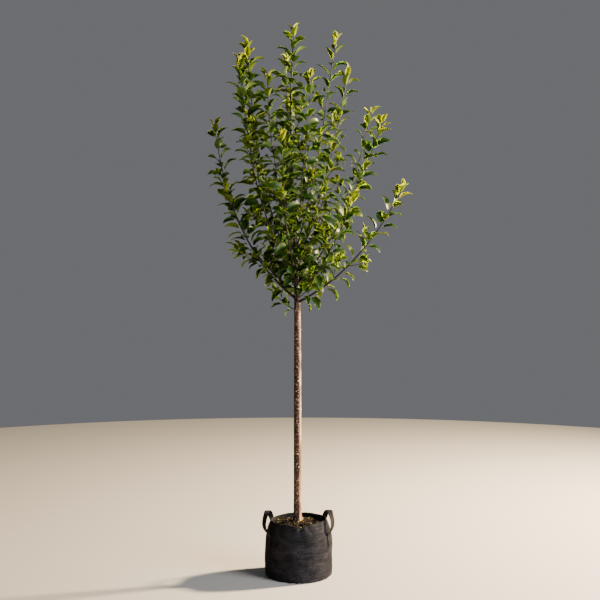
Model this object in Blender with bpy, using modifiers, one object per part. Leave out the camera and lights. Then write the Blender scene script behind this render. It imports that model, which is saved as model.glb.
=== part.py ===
"""A young standard tree in a fabric grow bag, built as separate solids: the bag and its two handles,
the compost, the trunk, the boughs, and one mass of twigs and leaves on each bough or spur.

Metres, +Z up. The origin is the middle of the bag's flat underside. The tree is looked at along +Y,
so +X is its right and -Y its front. Run it with: blender --background --python part.py
"""

import math
import random

import bmesh
import bpy
import numpy as np
from mathutils import Matrix, Vector

# Grow bag
BAG_HEIGHT = 0.309
BAG_RADIUS = 0.1855  # at its widest ring
BAG_WIDEST_AT = 0.080  # height of that ring
BAG_BASE_DRAW = 0.003  # how much narrower it is at the base
RIM_RADIUS = 0.151
CORNER_RADIUS = 0.014  # rounding between the wall and the flat base
FELT_THICKNESS = 0.0035
RIM_DRAW = 3.8  # how late the wall draws in: a higher power draws in nearer the rim
BAG_STEPS = 32
CORNER_RINGS = 4
WALL_RINGS = 6
RIM_FOLD_DEPTH = 0.020  # the front of the rim is folded down a little
RIM_FOLD_AT = math.radians(-86)
RIM_FOLD_SPREAD = math.radians(14)
RIM_FOLD_FROM = 0.240  # the fold pulls down the cloth above this height

# Handles: a strap sewn to the wall at both ends, with an arch that springs out and leans in at its top
STRAP_WIDTH = 0.030
STRAP_THICKNESS = 0.003
STRAP_CLEARANCE = 0.0007  # between the flat strap and the round wall
STRAP_SEWN_FROM = 0.172
STRAP_SEWN_TO = 0.236
STRAP_TOP = 0.352
STRAP_SEWN_SHARE = 0.16  # of the strap's way, at each end
STRAP_ARCH_POWER = 0.8  # below 1 the arch is squarer than a half circle
STRAP_HALF_SPREAD = math.radians(30)
STRAP_STEPS = 26
HANDLES = {  # azimuth of its middle, how far its two arms spring out from the wall, how far its top leans in
    "handle_left": (math.radians(178), (0.001, 0.036), 0.006),
    "handle_right": (math.radians(7), (0.027, 0.001), 0.010),
}

# Compost
SOIL_TOP = 0.2985  # at the trunk
SOIL_FALL = 0.016  # how much lower it lies at the wall
SOIL_FLAT_RADIUS = 0.050
SOIL_CLEARANCE = 0.00095
FOLD_SLACK = 1.0  # share by which the compost shrinks from the wall, for each metre that the rim drops

# Trunk: its height and radius from the compost to the top of the leader
TRUNK_GIRTH = (
    (0.299, 0.0265),
    (0.330, 0.0228),
    (0.420, 0.0214),
    (0.900, 0.0204),
    (1.300, 0.0190),
    (1.480, 0.0176),
    (1.700, 0.0132),
    (1.950, 0.0102),
    (2.300, 0.0072),
    (2.620, 0.0050),
)
TRUNK_SIDES = 10
TRUNK_RINGS = 19
FLARE_RINGS = (0.312, 0.330, 0.360)
TRUNK_ASIDE = -0.007  # the tree stands a little to the left of the bag's middle
TRUNK_SWAY = 0.006
SWAY_LENGTH = 1.3
LEADER_TIP = 3.026
LEADER_BOW = 0.036  # the leader sets off to the left above the fork
LEADER_TIP_ASIDE = -0.020  # and its tip comes part of the way back
LEADER_STEPS = 12
BOW_FROM, BOW_TO = 1.35, 2.60

# Limbs: height on the trunk, azimuth in degrees, reach, height of the tip, and how far out they bend
LIMBS = {
    "right_low": (1.515, -8, 0.578, 2.135, 0.60),
    "left_mid": (1.535, 176, 0.468, 2.510, 0.79),
    "back_mid": (1.550, 96, 0.410, 2.400, 0.70),
    "right_front": (1.565, -52, 0.460, 2.060, 0.62),
    "left_low": (1.580, -165, 0.405, 2.130, 0.66),
    "front_low": (1.600, -102, 0.400, 2.360, 0.70),
    "back_right": (1.605, 62, 0.410, 2.480, 0.72),
    "right_mid": (1.620, -15, 0.480, 2.500, 0.52),
    "left_front": (1.640, -146, 0.375, 2.800, 0.76),
    "back_left": (1.655, 134, 0.400, 2.590, 0.76),
    "right_back": (1.670, 20, 0.450, 2.610, 0.68),
    "left_upper": (1.700, 162, 0.300, 2.975, 0.78),
    "right_upper": (1.745, 40, 0.385, 2.860, 0.55),
    "right_inner": (1.810, -30, 0.240, 2.950, 0.52),
    "left_inner": (1.850, -124, 0.290, 2.730, 0.76),
    "front_inner": (1.900, -76, 0.285, 2.710, 0.74),
    "back_inner": (1.960, 108, 0.220, 2.920, 0.74),
}
LIMB_BEND_RISE = 0.27  # share of the climb made by the bend
LIMB_BASE_SHARE = 0.40  # a limb's radius against the trunk's where it leaves
LIMB_TIP_RADIUS = 0.0016
LIMB_TAPER = 0.8  # below 1 a limb thins sooner near its foot
LIMB_WANDER = 0.005
LIMB_WAVES = 11  # radians of wandering from foot to tip
LIMB_POINTS = 40
BOUGH_SHARE = 0.22  # the bare part of a limb, before the leaves begin
BOUGH_STEP = 0.06
BOUGH_SIDES = 6

# Sprays: short leafy shoots straight from the trunk, low ones at the fork and one above another on the leader
SPRAYS = 15
SPRAY_HEIGHTS = (1.470, 2.420)
SPRAY_TURN = math.radians(30)  # how far a spray may turn aside to find room
SPRAY_REACH = (0.130, 0.110)
SPRAY_RISE = (0.110, 0.200)
SPRAY_BEND = (0.65, 0.30)  # shares of the reach and of the rise made by the bend
SPRAY_RADIUS = 0.0032
SPRAY_POINTS = 10
SPRAY_FOOT_SHARE = 0.25  # a spray's leaves start this far towards the size of tip leaves

# Twigs and leaves
STEM_STEP = 0.10  # between the rings of a three-sided stem
TWIG_GAP = 0.19
TWIG_LENGTH = (0.17, 0.09)  # near the foot and near the tip of a stem
TWIG_RADIUS = (0.0026, 0.0015)
TWIG_ANGLE = math.radians(42)
TWIG_BEND = 0.6  # share of the length before it turns up
TWIG_UPTURN = 0.7
TWIG_SHARES = (0.3, 1.0)  # how near to a tip leaf the first and the last leaf of a twig are
TWIG_FROM, TWIG_STOP = 0.06, 0.12  # bare lengths at the foot and tip of a stem
LEAF_FROM, TWIG_LEAF_FROM = 0.022, 0.045  # bare lengths at the foot of a stem and of a twig
LEAF_GAP = 0.039
TWIG_LEAF_SPACING = 1.3  # against the gap on a stem
LEAF_LENGTH = (0.116, 0.078)  # with its stalk, near the foot and near the tip of a stem
LEAF_WIDTH_SHARE = 0.60
LEAF_ANGLE = (math.radians(66), math.radians(34))
LEAF_DROOP = 0.18
LEAF_LOOK_UP = 0.8  # how much a leaf faces the sky, against its stem's tip
LEAF_THICKNESS_SHARE = 0.014
LEAF_WIDEST_AT = 0.48
LEAF_FOLD = 0.16  # how far the edges stand above the midrib, against the width
LEAF_ARCH = 0.10  # how far the middle stands above the line from stalk to tip
TIP_LEAVES = 3
TIP_LEAF_ANGLE = math.radians(18)
TIP_LEAF_GAP = 0.009
TIP_LEAF_OPENING = 0.6  # how much wider each next tip leaf stands
TIP_LEAF_SIZE = (0.75, 0.12)  # of the first, and what each next one adds
LEAF_ROOM = 0.030  # the least distance between the middles of two leaves
GOLDEN_ANGLE = math.radians(137.5)
TURN_PLAY, SPREAD_PLAY = 0.3, 0.12  # radians by which a leaf may stray
SIZE_PLAY, GAP_PLAY = 0.10, 0.20  # shares by which a length or a gap may stray
SEED = 11

CLEARANCE = 0.0003  # between neighbouring solids
CUFF = 0.004  # length of the short collar where two limbs meet cap to cap
CELL_GAP = 0.003  # between the spaces of two masses
LIMB_GAP = 0.004  # between a leaf and a limb
SAMPLE_GAP = 0.008  # between the points that stand for a limb


def mix(pair, share):
    return pair[0] + (pair[1] - pair[0]) * share


# ---------------------------------------------------------------- scene and materials
def clear_scene():
    for leftover in list(bpy.data.objects):
        bpy.data.objects.remove(leftover)


def new_collection(name):
    collection = bpy.data.collections.new(name)
    bpy.context.scene.collection.children.link(collection)
    return collection


def make_material(name, colour, roughness):
    material = bpy.data.materials.new(name)
    material.use_nodes = True
    shader = material.node_tree.nodes["Principled BSDF"]
    shader.inputs["Base Color"].default_value = (*colour, 1.0)
    shader.inputs["Roughness"].default_value = roughness
    shader.inputs["Metallic"].default_value = 0.0
    material.diffuse_color = (*colour, 1.0)
    return material


def object_from(bm, name, collection, material=None):
    mesh = bpy.data.meshes.new(name)
    bm.to_mesh(mesh)
    bm.free()
    made = bpy.data.objects.new(name, mesh)
    collection.objects.link(made)
    if material:
        mesh.materials.append(material)
    return made


def shade_round(made, edge_angle=math.radians(40)):
    made.data.shade_smooth()
    made.data.set_sharp_from_angle(angle=edge_angle)


# ---------------------------------------------------------------- grow bag and compost
def full_radius(height):
    """Outer radius of the filled bag: fullest low down and drawn in towards the rim."""
    above = max(0.0, height - BAG_WIDEST_AT) / (BAG_HEIGHT - BAG_WIDEST_AT)
    below = max(0.0, BAG_WIDEST_AT - height) / BAG_WIDEST_AT
    return BAG_RADIUS - (BAG_RADIUS - RIM_RADIUS) * above**RIM_DRAW - BAG_BASE_DRAW * below**2


WALL_HEIGHTS = np.linspace(CORNER_RADIUS, BAG_HEIGHT, WALL_RINGS + 1)
WALL_RADII = [full_radius(height) for height in WALL_HEIGHTS]


def bag_radius(height):
    """The outer radius as the wall is drawn, straight from ring to ring."""
    return float(np.interp(height, WALL_HEIGHTS, WALL_RADII))


def bag_profile(inset, top):
    """(radius, height) from the edge of the flat base up to a height, that far inside the bag's skin."""
    centre = bag_radius(CORNER_RADIUS) - CORNER_RADIUS
    reach = CORNER_RADIUS - inset
    profile = []
    for step in range(CORNER_RINGS):
        angle = math.pi / 2 * (step / (CORNER_RINGS - 1) - 1)
        profile.append((centre + reach * math.cos(angle), CORNER_RADIUS + reach * math.sin(angle)))
    for height in [ring for ring in WALL_HEIGHTS[1:] if ring < top] + [top]:
        profile.append((bag_radius(height) - inset, height))
    return profile


def spin_profile(profile):
    """A surface turned about +Z from an outline that stays clear of the axis."""
    bm = bmesh.new()
    verts = [bm.verts.new((radius, 0, height)) for radius, height in profile]
    edges = [bm.edges.new(pair) for pair in zip(verts, verts[1:])]
    bmesh.ops.spin(
        bm,
        geom=verts + edges,
        axis=(0, 0, 1),
        cent=(0, 0, 0),
        angle=math.tau,
        steps=BAG_STEPS,
        use_merge=True,
    )
    bmesh.ops.remove_doubles(bm, verts=bm.verts, dist=1e-5)
    return bm


def close_ring(bm, height):
    """One flat face across the open ring of edges at a height."""
    ring = [e for e in bm.edges if e.is_boundary and abs(e.verts[0].co.z - height) < 1e-5]
    bmesh.ops.contextual_create(bm, geom=ring)


def rim_drop(x, y, height):
    """How far the folded front of the rim, and what it holds, hangs below its even height."""
    turn = math.remainder(math.atan2(y, x) - RIM_FOLD_AT, math.tau) / RIM_FOLD_SPREAD
    climb = max(0.0, height - RIM_FOLD_FROM) / (BAG_HEIGHT - RIM_FOLD_FROM)
    nearness = min(1.0, max(0.0, math.hypot(x, y) - SOIL_FLAT_RADIUS) / (RIM_RADIUS / 2))
    return RIM_FOLD_DEPTH * climb * math.exp(-turn * turn) * nearness


def make_bag(collection, material):
    bm = spin_profile(bag_profile(0.0, BAG_HEIGHT))
    close_ring(bm, 0.0)
    bmesh.ops.recalc_face_normals(bm, faces=bm.faces)
    base = min(bm.faces, key=lambda face: face.calc_center_median().z)
    if base.normal.z > 0:
        bmesh.ops.reverse_faces(bm, faces=bm.faces)
    for vert in bm.verts:
        vert.co.z -= rim_drop(*vert.co)
    bag = object_from(bm, "grow_bag", collection, material)
    shell = bag.modifiers.new("felt", "SOLIDIFY")
    shell.thickness = FELT_THICKNESS
    shell.offset = -1
    shell.use_even_offset = True
    shade_round(bag)


def make_compost(collection, material):
    inset = FELT_THICKNESS + SOIL_CLEARANCE
    edge_height = SOIL_TOP - SOIL_FALL
    profile = bag_profile(inset, edge_height)
    edge_radius = profile[-1][0]
    for step in range(1, 4):
        inward = step / 3
        radius = edge_radius + (SOIL_FLAT_RADIUS - edge_radius) * inward
        profile.append((radius, SOIL_TOP - SOIL_FALL * (1 - inward) ** 1.5))
    bm = spin_profile(profile)
    close_ring(bm, inset)
    close_ring(bm, SOIL_TOP)
    bmesh.ops.recalc_face_normals(bm, faces=bm.faces)
    for vert in bm.verts:
        drop = rim_drop(*vert.co)
        vert.co.xy *= 1 - FOLD_SLACK * drop
        vert.co.z -= drop
    shade_round(object_from(bm, "compost", collection, material))


def strap_frame(step, middle, springs, top_lean):
    """Centre and width direction of the strap at a step of its way: up the wall, over and down again."""
    way = step / STRAP_STEPS
    arch = min(1.0, max(0.0, (way - STRAP_SEWN_SHARE) / (1 - 2 * STRAP_SEWN_SHARE)))
    turn = math.pi * arch
    lift = max(0.0, math.sin(turn)) ** STRAP_ARCH_POWER
    azimuth = middle - STRAP_HALF_SPREAD * math.cos(turn)
    sewn = min(way, 1 - way) / STRAP_SEWN_SHARE
    if sewn < 1:
        height = STRAP_SEWN_FROM + (STRAP_SEWN_TO - STRAP_SEWN_FROM) * sewn
    else:
        height = STRAP_SEWN_TO + (STRAP_TOP - STRAP_SEWN_TO) * lift
    wall = bag_radius(min(height, STRAP_SEWN_TO)) + STRAP_CLEARANCE + STRAP_THICKNESS / 2
    spring = mix(springs, (1 - math.cos(turn)) / 2)
    radius = wall + spring * 4 * lift * (1 - lift) - top_lean * lift
    outward = Vector((math.cos(azimuth), math.sin(azimuth), 0))
    across = Vector((math.sin(azimuth), -math.cos(azimuth), 0))
    in_plane = across * math.cos(turn) + Vector((0, 0, 1)) * math.sin(turn)
    twist = math.pi / 2 * lift**2  # the arms turn their faces to the front and back, and the top lies flat
    width = (in_plane * math.cos(twist) - outward * math.sin(twist)).normalized()
    return outward * radius + Vector((0, 0, height)), width


def make_handle(name, place, collection, material):
    """One strap: a strip of cloth that follows its frames, with thickness."""
    bm = bmesh.new()
    bmesh.ops.create_grid(bm, x_segments=STRAP_STEPS, y_segments=1, size=1.0)
    for vert in bm.verts:
        step = round((vert.co.x + 1) / 2 * STRAP_STEPS)
        centre, width = strap_frame(step, *place)
        vert.co = centre + width * (STRAP_WIDTH / 2) * (1 if vert.co.y > 0 else -1)
    bmesh.ops.recalc_face_normals(bm, faces=bm.faces)
    strap = object_from(bm, name, collection, material)
    shell = strap.modifiers.new("webbing", "SOLIDIFY")
    shell.thickness = STRAP_THICKNESS
    shell.offset = 0
    shade_round(strap)


# ---------------------------------------------------------------- where the wood runs
def trunk_centre(height):
    """The trunk is nearly straight to the fork; above it the leader bows to the left."""
    share = min(1.0, max(0.0, (height - BOW_FROM) / (BOW_TO - BOW_FROM)))
    bow = -LEADER_BOW * share * share * (3 - 2 * share)
    sway = TRUNK_SWAY * math.sin(math.pi * (height - SOIL_TOP) / SWAY_LENGTH)
    return Vector((TRUNK_ASIDE + bow, sway, height))


def trunk_radius(height):
    heights, radii = zip(*TRUNK_GIRTH)
    return float(np.interp(height, heights, radii))


def stray(rng, play):
    """A factor near 1."""
    return rng.uniform(1 - play, 1 + play)


def bezier(start, bend, end, share):
    return start * (1 - share) ** 2 + bend * 2 * share * (1 - share) + end * share**2


def limb_line(name):
    """Points and radii of a limb, from the trunk's centre to its tip: out from the trunk, then up."""
    foot_height, azimuth, reach, tip_height, bend_out = LIMBS[name]
    turn = math.radians(azimuth)
    outward = Vector((math.cos(turn), math.sin(turn), 0))
    foot = trunk_centre(foot_height)
    climb = tip_height - foot_height
    bend = foot + outward * reach * bend_out + Vector((0, 0, climb * LIMB_BEND_RISE))
    tip = Vector((TRUNK_ASIDE, 0, tip_height)) + outward * reach
    aside = Vector((-outward.y, outward.x, 0))
    foot_radius = trunk_radius(foot_height) * LIMB_BASE_SHARE
    points, radii = [], []
    for index in range(LIMB_POINTS):
        share = index / (LIMB_POINTS - 1)
        wave = math.sin(share * LIMB_WAVES + azimuth) * LIMB_WANDER * math.sin(math.pi * share)
        points.append(bezier(foot, bend, tip, share) + aside * wave)
        radii.append(mix((foot_radius, LIMB_TIP_RADIUS), share**LIMB_TAPER))
    return points, radii


def leader_line():
    """The tip of the tree, which grows on from the top of the trunk."""
    foot_height = TRUNK_GIRTH[-1][0]
    foot = trunk_centre(foot_height) + Vector((0, 0, CLEARANCE))
    tip = Vector((TRUNK_ASIDE + LEADER_TIP_ASIDE, foot.y, LEADER_TIP))
    bend = (foot + tip) / 2
    bend.x = foot.x
    shares = [index / LEADER_STEPS for index in range(LEADER_STEPS + 1)]
    points = [bezier(foot, bend, tip, share) for share in shares]
    radii = [mix((TRUNK_GIRTH[-1][1], LIMB_TIP_RADIUS), share) for share in shares]
    return points, radii


def spray_line(foot_height, azimuth, share):
    """A short shoot from the trunk's centre, out and up."""
    outward = Vector((math.cos(azimuth), math.sin(azimuth), 0))
    foot = trunk_centre(foot_height)
    reach, rise = mix(SPRAY_REACH, share), mix(SPRAY_RISE, share)
    bend = foot + outward * reach * SPRAY_BEND[0] + Vector((0, 0, rise * SPRAY_BEND[1]))
    tip = foot + outward * reach + Vector((0, 0, rise))
    shares = [index / (SPRAY_POINTS - 1) for index in range(SPRAY_POINTS)]
    points = [bezier(foot, bend, tip, way) for way in shares]
    radii = [mix((SPRAY_RADIUS, LIMB_TIP_RADIUS), way) for way in shares]
    return points, radii


def line_lengths(points):
    lengths = [0.0]
    for first, second in zip(points, points[1:]):
        lengths.append(lengths[-1] + (second - first).length)
    return lengths


def along(points, radii, distance):
    """Point, direction and radius at a distance along a line."""
    lengths = line_lengths(points)
    index = int(np.searchsorted(lengths, distance, side="right")) - 1
    index = min(max(index, 0), len(points) - 2)
    span = lengths[index + 1] - lengths[index]
    share = (distance - lengths[index]) / span
    direction = (points[index + 1] - points[index]) / span
    radius = mix(radii[index : index + 2], share)
    return points[index] + direction * (distance - lengths[index]), direction, radius


def stretch(points, radii, start, end, pieces):
    """The part of a line between two distances, in even pieces."""
    stops = [start + (end - start) * index / pieces for index in range(pieces + 1)]
    found = [along(points, radii, stop) for stop in stops]
    return [point for point, _, _ in found], [radius for _, _, radius in found]


def even_steps(points, radii, start, end=None, step=STEM_STEP, cuffs="foot"):
    """Part of a line in the straight steps that its solid is made of. A short cuff at an end
    turns its flat cap square to the line, so that it faces the cap of the piece that it meets."""
    end = end or line_lengths(points)[-1]
    first = start + CUFF if cuffs == "foot" else start
    last = end - CUFF if cuffs == "tip" else end
    line = stretch(points, radii, first, last, max(3, round((last - first) / step)))
    if cuffs == "foot":
        point, _, radius = along(points, radii, start)
        return [point] + line[0], [radius] + line[1]
    point, _, radius = along(points, radii, end)
    return line[0] + [point], line[1] + [radius]


class Wood:
    """Every limb and every mass's own stem as rows of close points, to tell whose space a point is in."""

    def __init__(self):
        self.stems = np.zeros((0, 3))
        self.owners = np.zeros(0, int)
        self.limbs = np.zeros((0, 3))
        self.limb_radii = np.zeros(0)

    def sampled(self, points, radii):
        length = line_lengths(points)[-1]
        return stretch(points, radii, 0.0, length, max(2, int(length / SAMPLE_GAP)))

    def add_limb(self, points, radii):
        points, radii = self.sampled(points, radii)
        self.limbs = np.vstack([self.limbs, np.array(points)])
        self.limb_radii = np.append(self.limb_radii, radii)

    def add_stem(self, owner, points, radii):
        points, _ = self.sampled(points, radii)
        self.stems = np.vstack([self.stems, np.array(points)])
        self.owners = np.append(self.owners, [owner] * len(points))

    def distance_to_any(self, points):
        """How near a row of points comes to a limb or a stem."""
        wood = np.vstack([self.limbs, self.stems])
        return np.linalg.norm(np.array(points)[:, None] - wood[None], axis=2).min()

    def holds(self, owner, points):
        """True where every point is in the owner's space and clear of the limbs."""
        points = np.array(points)
        gaps = np.linalg.norm(points[:, None] - self.stems[None], axis=2)
        own = gaps[:, self.owners == owner].min(axis=1)
        other = gaps[:, self.owners != owner].min(axis=1)
        limb_gaps = np.linalg.norm(points[:, None] - self.limbs[None], axis=2) - self.limb_radii
        return bool((own + CELL_GAP < other).all() and limb_gaps.min() > LIMB_GAP)


# ---------------------------------------------------------------- how twigs and leaves grow
def side_of(direction, turn):
    """A unit vector square to a direction, turned about it."""
    level = direction.cross(Vector((0, 0, 1)))
    if level.length < 1e-3:
        level = Vector((1, 0, 0))
    return (Matrix.Rotation(turn, 3, direction) @ level).normalized()


def leaf_place(root, direction, stem_direction, length):
    """A leaf's frame: X along it, Z its upper face, which looks up and back to the stem's tip."""
    up = stem_direction + Vector((0, 0, LEAF_LOOK_UP))
    across = up.cross(direction).normalized()
    upper = direction.cross(across)
    frame = Matrix((direction, across, upper)).transposed().to_4x4()
    return Matrix.Translation(root) @ frame @ Matrix.Scale(length, 4)


def leaf_outline(place):
    """Points all over a leaf, to test where it lies."""
    points = []
    for step in range(2, 9):
        run = step / 8
        half = LEAF_WIDTH_SHARE / 2 * math.sin(math.pi * min(1.0, run) ** 1.15)
        for share in (-1, -0.5, 0, 0.5, 1):
            arch = LEAF_ARCH * math.sin(math.pi * run)
            fold = LEAF_FOLD * half * abs(share)
            points.append(place @ Vector((run, half * share, arch + fold)))
    return points


def grow_leaves(stem, first, shares, rng, gap):
    """Leaf places on a stem, one every gap, turned by the golden angle, with a rosette at its tip.
    The shares say how near to a tip leaf's size and angle the first and the last one are."""
    points, radii = stem
    length = line_lengths(points)[-1]
    turn = rng.uniform(0, math.tau)
    places = []
    distance = first
    while distance < length:
        root, direction, _ = along(points, radii, distance)
        share = mix(shares, distance / length)
        turn += GOLDEN_ANGLE + rng.uniform(-TURN_PLAY, TURN_PLAY)
        spread = mix(LEAF_ANGLE, share) + rng.uniform(-SPREAD_PLAY, SPREAD_PLAY)
        outward = direction * math.cos(spread) + side_of(direction, turn) * math.sin(spread)
        outward.z -= LEAF_DROOP * (1 - share)
        size = mix(LEAF_LENGTH, share) * stray(rng, SIZE_PLAY)
        places.append(leaf_place(root, outward.normalized(), direction, size))
        distance += gap * stray(rng, GAP_PLAY)
    root, direction, _ = along(points, radii, length - TIP_LEAF_GAP / 2)
    for index in range(TIP_LEAVES):
        turn += GOLDEN_ANGLE
        spread = TIP_LEAF_ANGLE * (1 + TIP_LEAF_OPENING * index)
        outward = direction * math.cos(spread) + side_of(direction, turn) * math.sin(spread)
        size = LEAF_LENGTH[1] * (TIP_LEAF_SIZE[0] + TIP_LEAF_SIZE[1] * index)
        places.append(leaf_place(root - direction * TIP_LEAF_GAP * index, outward, direction, size))
    return places


def grow_twig(stem, distance, turn, share, rng):
    """A side twig that leaves the stem and turns up."""
    root, direction, _ = along(*stem, distance)
    length = mix(TWIG_LENGTH, share) * stray(rng, SIZE_PLAY)
    outward = direction * math.cos(TWIG_ANGLE) + side_of(direction, turn) * math.sin(TWIG_ANGLE)
    bend = root + outward * length * TWIG_BEND
    tip = bend + (outward + Vector((0, 0, TWIG_UPTURN))).normalized() * length * (1 - TWIG_BEND)
    points = [bezier(root, bend, tip, index / 2) for index in range(3)]
    radii = [mix(TWIG_RADIUS, index / 2) for index in range(3)]
    return points, radii


def grow_mass(owner, stem, wood, rng, foot_share):
    """The twigs and leaf places of one mass: all that stays in its own space."""
    length = line_lengths(stem[0])[-1]
    twigs = []
    turn = rng.uniform(0, math.tau)
    distance = TWIG_FROM + rng.uniform(0, TWIG_FROM / 2)
    while distance < length - TWIG_STOP:
        turn += GOLDEN_ANGLE
        share = mix((foot_share, 1.0), distance / length)
        twig = grow_twig(stem, distance, turn, share, rng)
        if wood.holds(owner, twig[0][1:]):
            twigs.append(twig)
        distance += TWIG_GAP * stray(rng, GAP_PLAY)
    candidates = grow_leaves(stem, LEAF_FROM, (foot_share, 1.0), rng, LEAF_GAP)
    for twig in twigs:
        candidates += grow_leaves(twig, TWIG_LEAF_FROM, TWIG_SHARES, rng, LEAF_GAP * TWIG_LEAF_SPACING)
    leaves, middles = [], []
    for place in candidates:
        middle = place @ Vector((LEAF_WIDEST_AT, 0, 0))
        crowded = any((middle - taken).length < LEAF_ROOM for taken in middles)
        if not crowded and wood.holds(owner, leaf_outline(place)):
            leaves.append(place)
            middles.append(middle)
    return twigs, leaves


# ---------------------------------------------------------------- solids of wood and leaf
def triangle_section(collection):
    """The outline that a three-sided twig is drawn with."""
    curve = bpy.data.curves.new("twig_section", "CURVE")
    spline = curve.splines.new("POLY")
    spline.points.add(2)
    for index, knot in enumerate(spline.points):
        angle = math.tau * index / 3
        knot.co = (math.cos(angle), math.sin(angle), 0, 1)
    spline.use_cyclic_u = True
    section = bpy.data.objects.new("twig_section", curve)
    section.hide_render = True
    collection.objects.link(section)
    return section


def make_tube(name, points, radii, collection, sides=8, section=None):
    """A closed mesh tube along points, drawn as a curve and then welded."""
    curve = bpy.data.curves.new(name, "CURVE")
    curve.dimensions = "3D"
    curve.use_fill_caps = True
    spline = curve.splines.new("POLY")
    spline.points.add(len(points) - 1)
    for knot, point, radius in zip(spline.points, points, radii):
        knot.co = (*point, 1)
        knot.radius = radius
    if section:
        curve.bevel_mode = "OBJECT"
        curve.bevel_object = section
    else:
        curve.bevel_depth = 1.0
        curve.bevel_resolution = (sides - 4) // 2
    drawn = bpy.data.objects.new(name, curve)
    collection.objects.link(drawn)
    graph = bpy.context.evaluated_depsgraph_get()
    mesh = bpy.data.meshes.new_from_object(drawn.evaluated_get(graph))
    bpy.data.objects.remove(drawn)
    bm = bmesh.new()
    bm.from_mesh(mesh)
    bpy.data.meshes.remove(mesh)
    bmesh.ops.remove_doubles(bm, verts=bm.verts, dist=1e-6)
    bmesh.ops.recalc_face_normals(bm, faces=bm.faces)
    return object_from(bm, name, collection)


def make_leaf(place, collection):
    """A leaf of eight faces: a sphere of four sides, drawn out from its root to its point."""
    bm = bmesh.new()
    bmesh.ops.create_uvsphere(bm, u_segments=4, v_segments=2, radius=1.0)
    half_width = LEAF_WIDTH_SHARE / 2
    half_thickness = LEAF_THICKNESS_SHARE / 2
    for vert in bm.verts:
        if abs(vert.co.z) > 0.5:
            vert.co = (1 if vert.co.z > 0 else 0, 0, 0)
            continue
        lift = LEAF_ARCH + LEAF_FOLD * half_width * abs(vert.co.x)
        vert.co = (LEAF_WIDEST_AT, vert.co.x * half_width, lift + vert.co.y * half_thickness)
    bmesh.ops.transform(bm, matrix=place, verts=bm.verts)
    bmesh.ops.recalc_face_normals(bm, faces=bm.faces)
    return object_from(bm, "leaf", collection)


def apply_boolean(made, operation, operand, solver):
    """Joins or cuts, and keeps the result as the object's mesh."""
    modifier = made.modifiers.new("fuse", "BOOLEAN")
    modifier.operation = operation
    modifier.solver = solver
    if isinstance(operand, bpy.types.Collection):
        modifier.operand_type = "COLLECTION"
        modifier.collection = operand
    else:
        modifier.object = operand
    graph = bpy.context.evaluated_depsgraph_get()
    mesh = bpy.data.meshes.new_from_object(made.evaluated_get(graph))
    made.modifiers.clear()
    made.data = mesh


def keep_main_body(made):
    """Drops loose scraps and fills sealed hollows: only the body with the most faces stays."""
    bm = bmesh.new()
    bm.from_mesh(made.data)
    waiting = set(bm.verts)
    bodies = []
    while waiting:
        body, edge_of_body = set(), [waiting.pop()]
        while edge_of_body:
            vert = edge_of_body.pop()
            body.add(vert)
            near = {edge.other_vert(vert) for edge in vert.link_edges} & waiting
            waiting -= near
            edge_of_body += near
        bodies.append(body)
    largest = max(bodies, key=len)
    scraps = [vert for body in bodies if body is not largest for vert in body]
    bmesh.ops.delete(bm, geom=scraps, context="VERTS")
    bm.to_mesh(made.data)
    bm.free()


def make_mass(name, stem, twigs, leaves, trunk_cutter, section, collections, material):
    """One leafy mass: its stem, side twigs and leaves joined into one solid."""
    plant, helpers = collections
    solid = make_tube(name, *stem, plant, section=section)
    if trunk_cutter:
        apply_boolean(solid, "DIFFERENCE", trunk_cutter, "EXACT")
    grown = bpy.data.collections.new(name + "_grown")
    helpers.children.link(grown)
    for twig in twigs:
        make_tube("twig", *twig, grown, section=section)
    for place in leaves:
        make_leaf(place, grown)
    apply_boolean(solid, "UNION", grown, "MANIFOLD")
    for joined in list(grown.objects):
        bpy.data.objects.remove(joined)
    bpy.data.collections.remove(grown)
    keep_main_body(solid)
    solid.data.materials.clear()
    solid.data.materials.append(material)


# ---------------------------------------------------------------- the plant
def free_azimuth(foot_height, middle, share, wood):
    """The way round the trunk, near a given one, in which a spray has the most room between the limbs."""
    best, most_room = middle, -1.0
    for step in range(-4, 5):
        azimuth = middle + SPRAY_TURN * step / 4
        points, _ = spray_line(foot_height, azimuth, share)
        room = wood.distance_to_any(points[3:])
        if room > most_room:
            best, most_room = azimuth, room
    return best


def plan_plant():
    """Lines of the trunk, boughs and stems, and the wood they make."""
    wood = Wood()
    heights = np.linspace(TRUNK_GIRTH[0][0], TRUNK_GIRTH[-1][0], TRUNK_RINGS)
    heights = np.insert(heights, 1, FLARE_RINGS)
    trunk = ([trunk_centre(height) for height in heights], [trunk_radius(height) for height in heights])
    wood.add_limb(*trunk)
    boughs, stems = {}, {}
    for name in LIMBS:
        points, radii = limb_line(name)
        length = line_lengths(points)[-1]
        split = BOUGH_SHARE * length
        boughs[name] = even_steps(points, radii, 0.0, split, BOUGH_STEP, cuffs="tip")
        stems[name] = even_steps(points, radii, split + CLEARANCE)
        wood.add_limb(*boughs[name])
        wood.add_stem(len(stems) - 1, *stems[name])
    stems["leader"] = even_steps(*leader_line(), 0.0)
    wood.add_stem(len(stems) - 1, *stems["leader"])
    for index in range(SPRAYS):
        share = index / (SPRAYS - 1)
        foot_height = mix(SPRAY_HEIGHTS, share)
        azimuth = free_azimuth(foot_height, math.pi + GOLDEN_ANGLE * index, share, wood)
        spray = even_steps(*spray_line(foot_height, azimuth, share), 0.0)
        stems[f"spray_{index + 1:02d}"] = spray
        wood.add_stem(len(stems) - 1, *spray)
    return wood, trunk, boughs, stems


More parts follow.
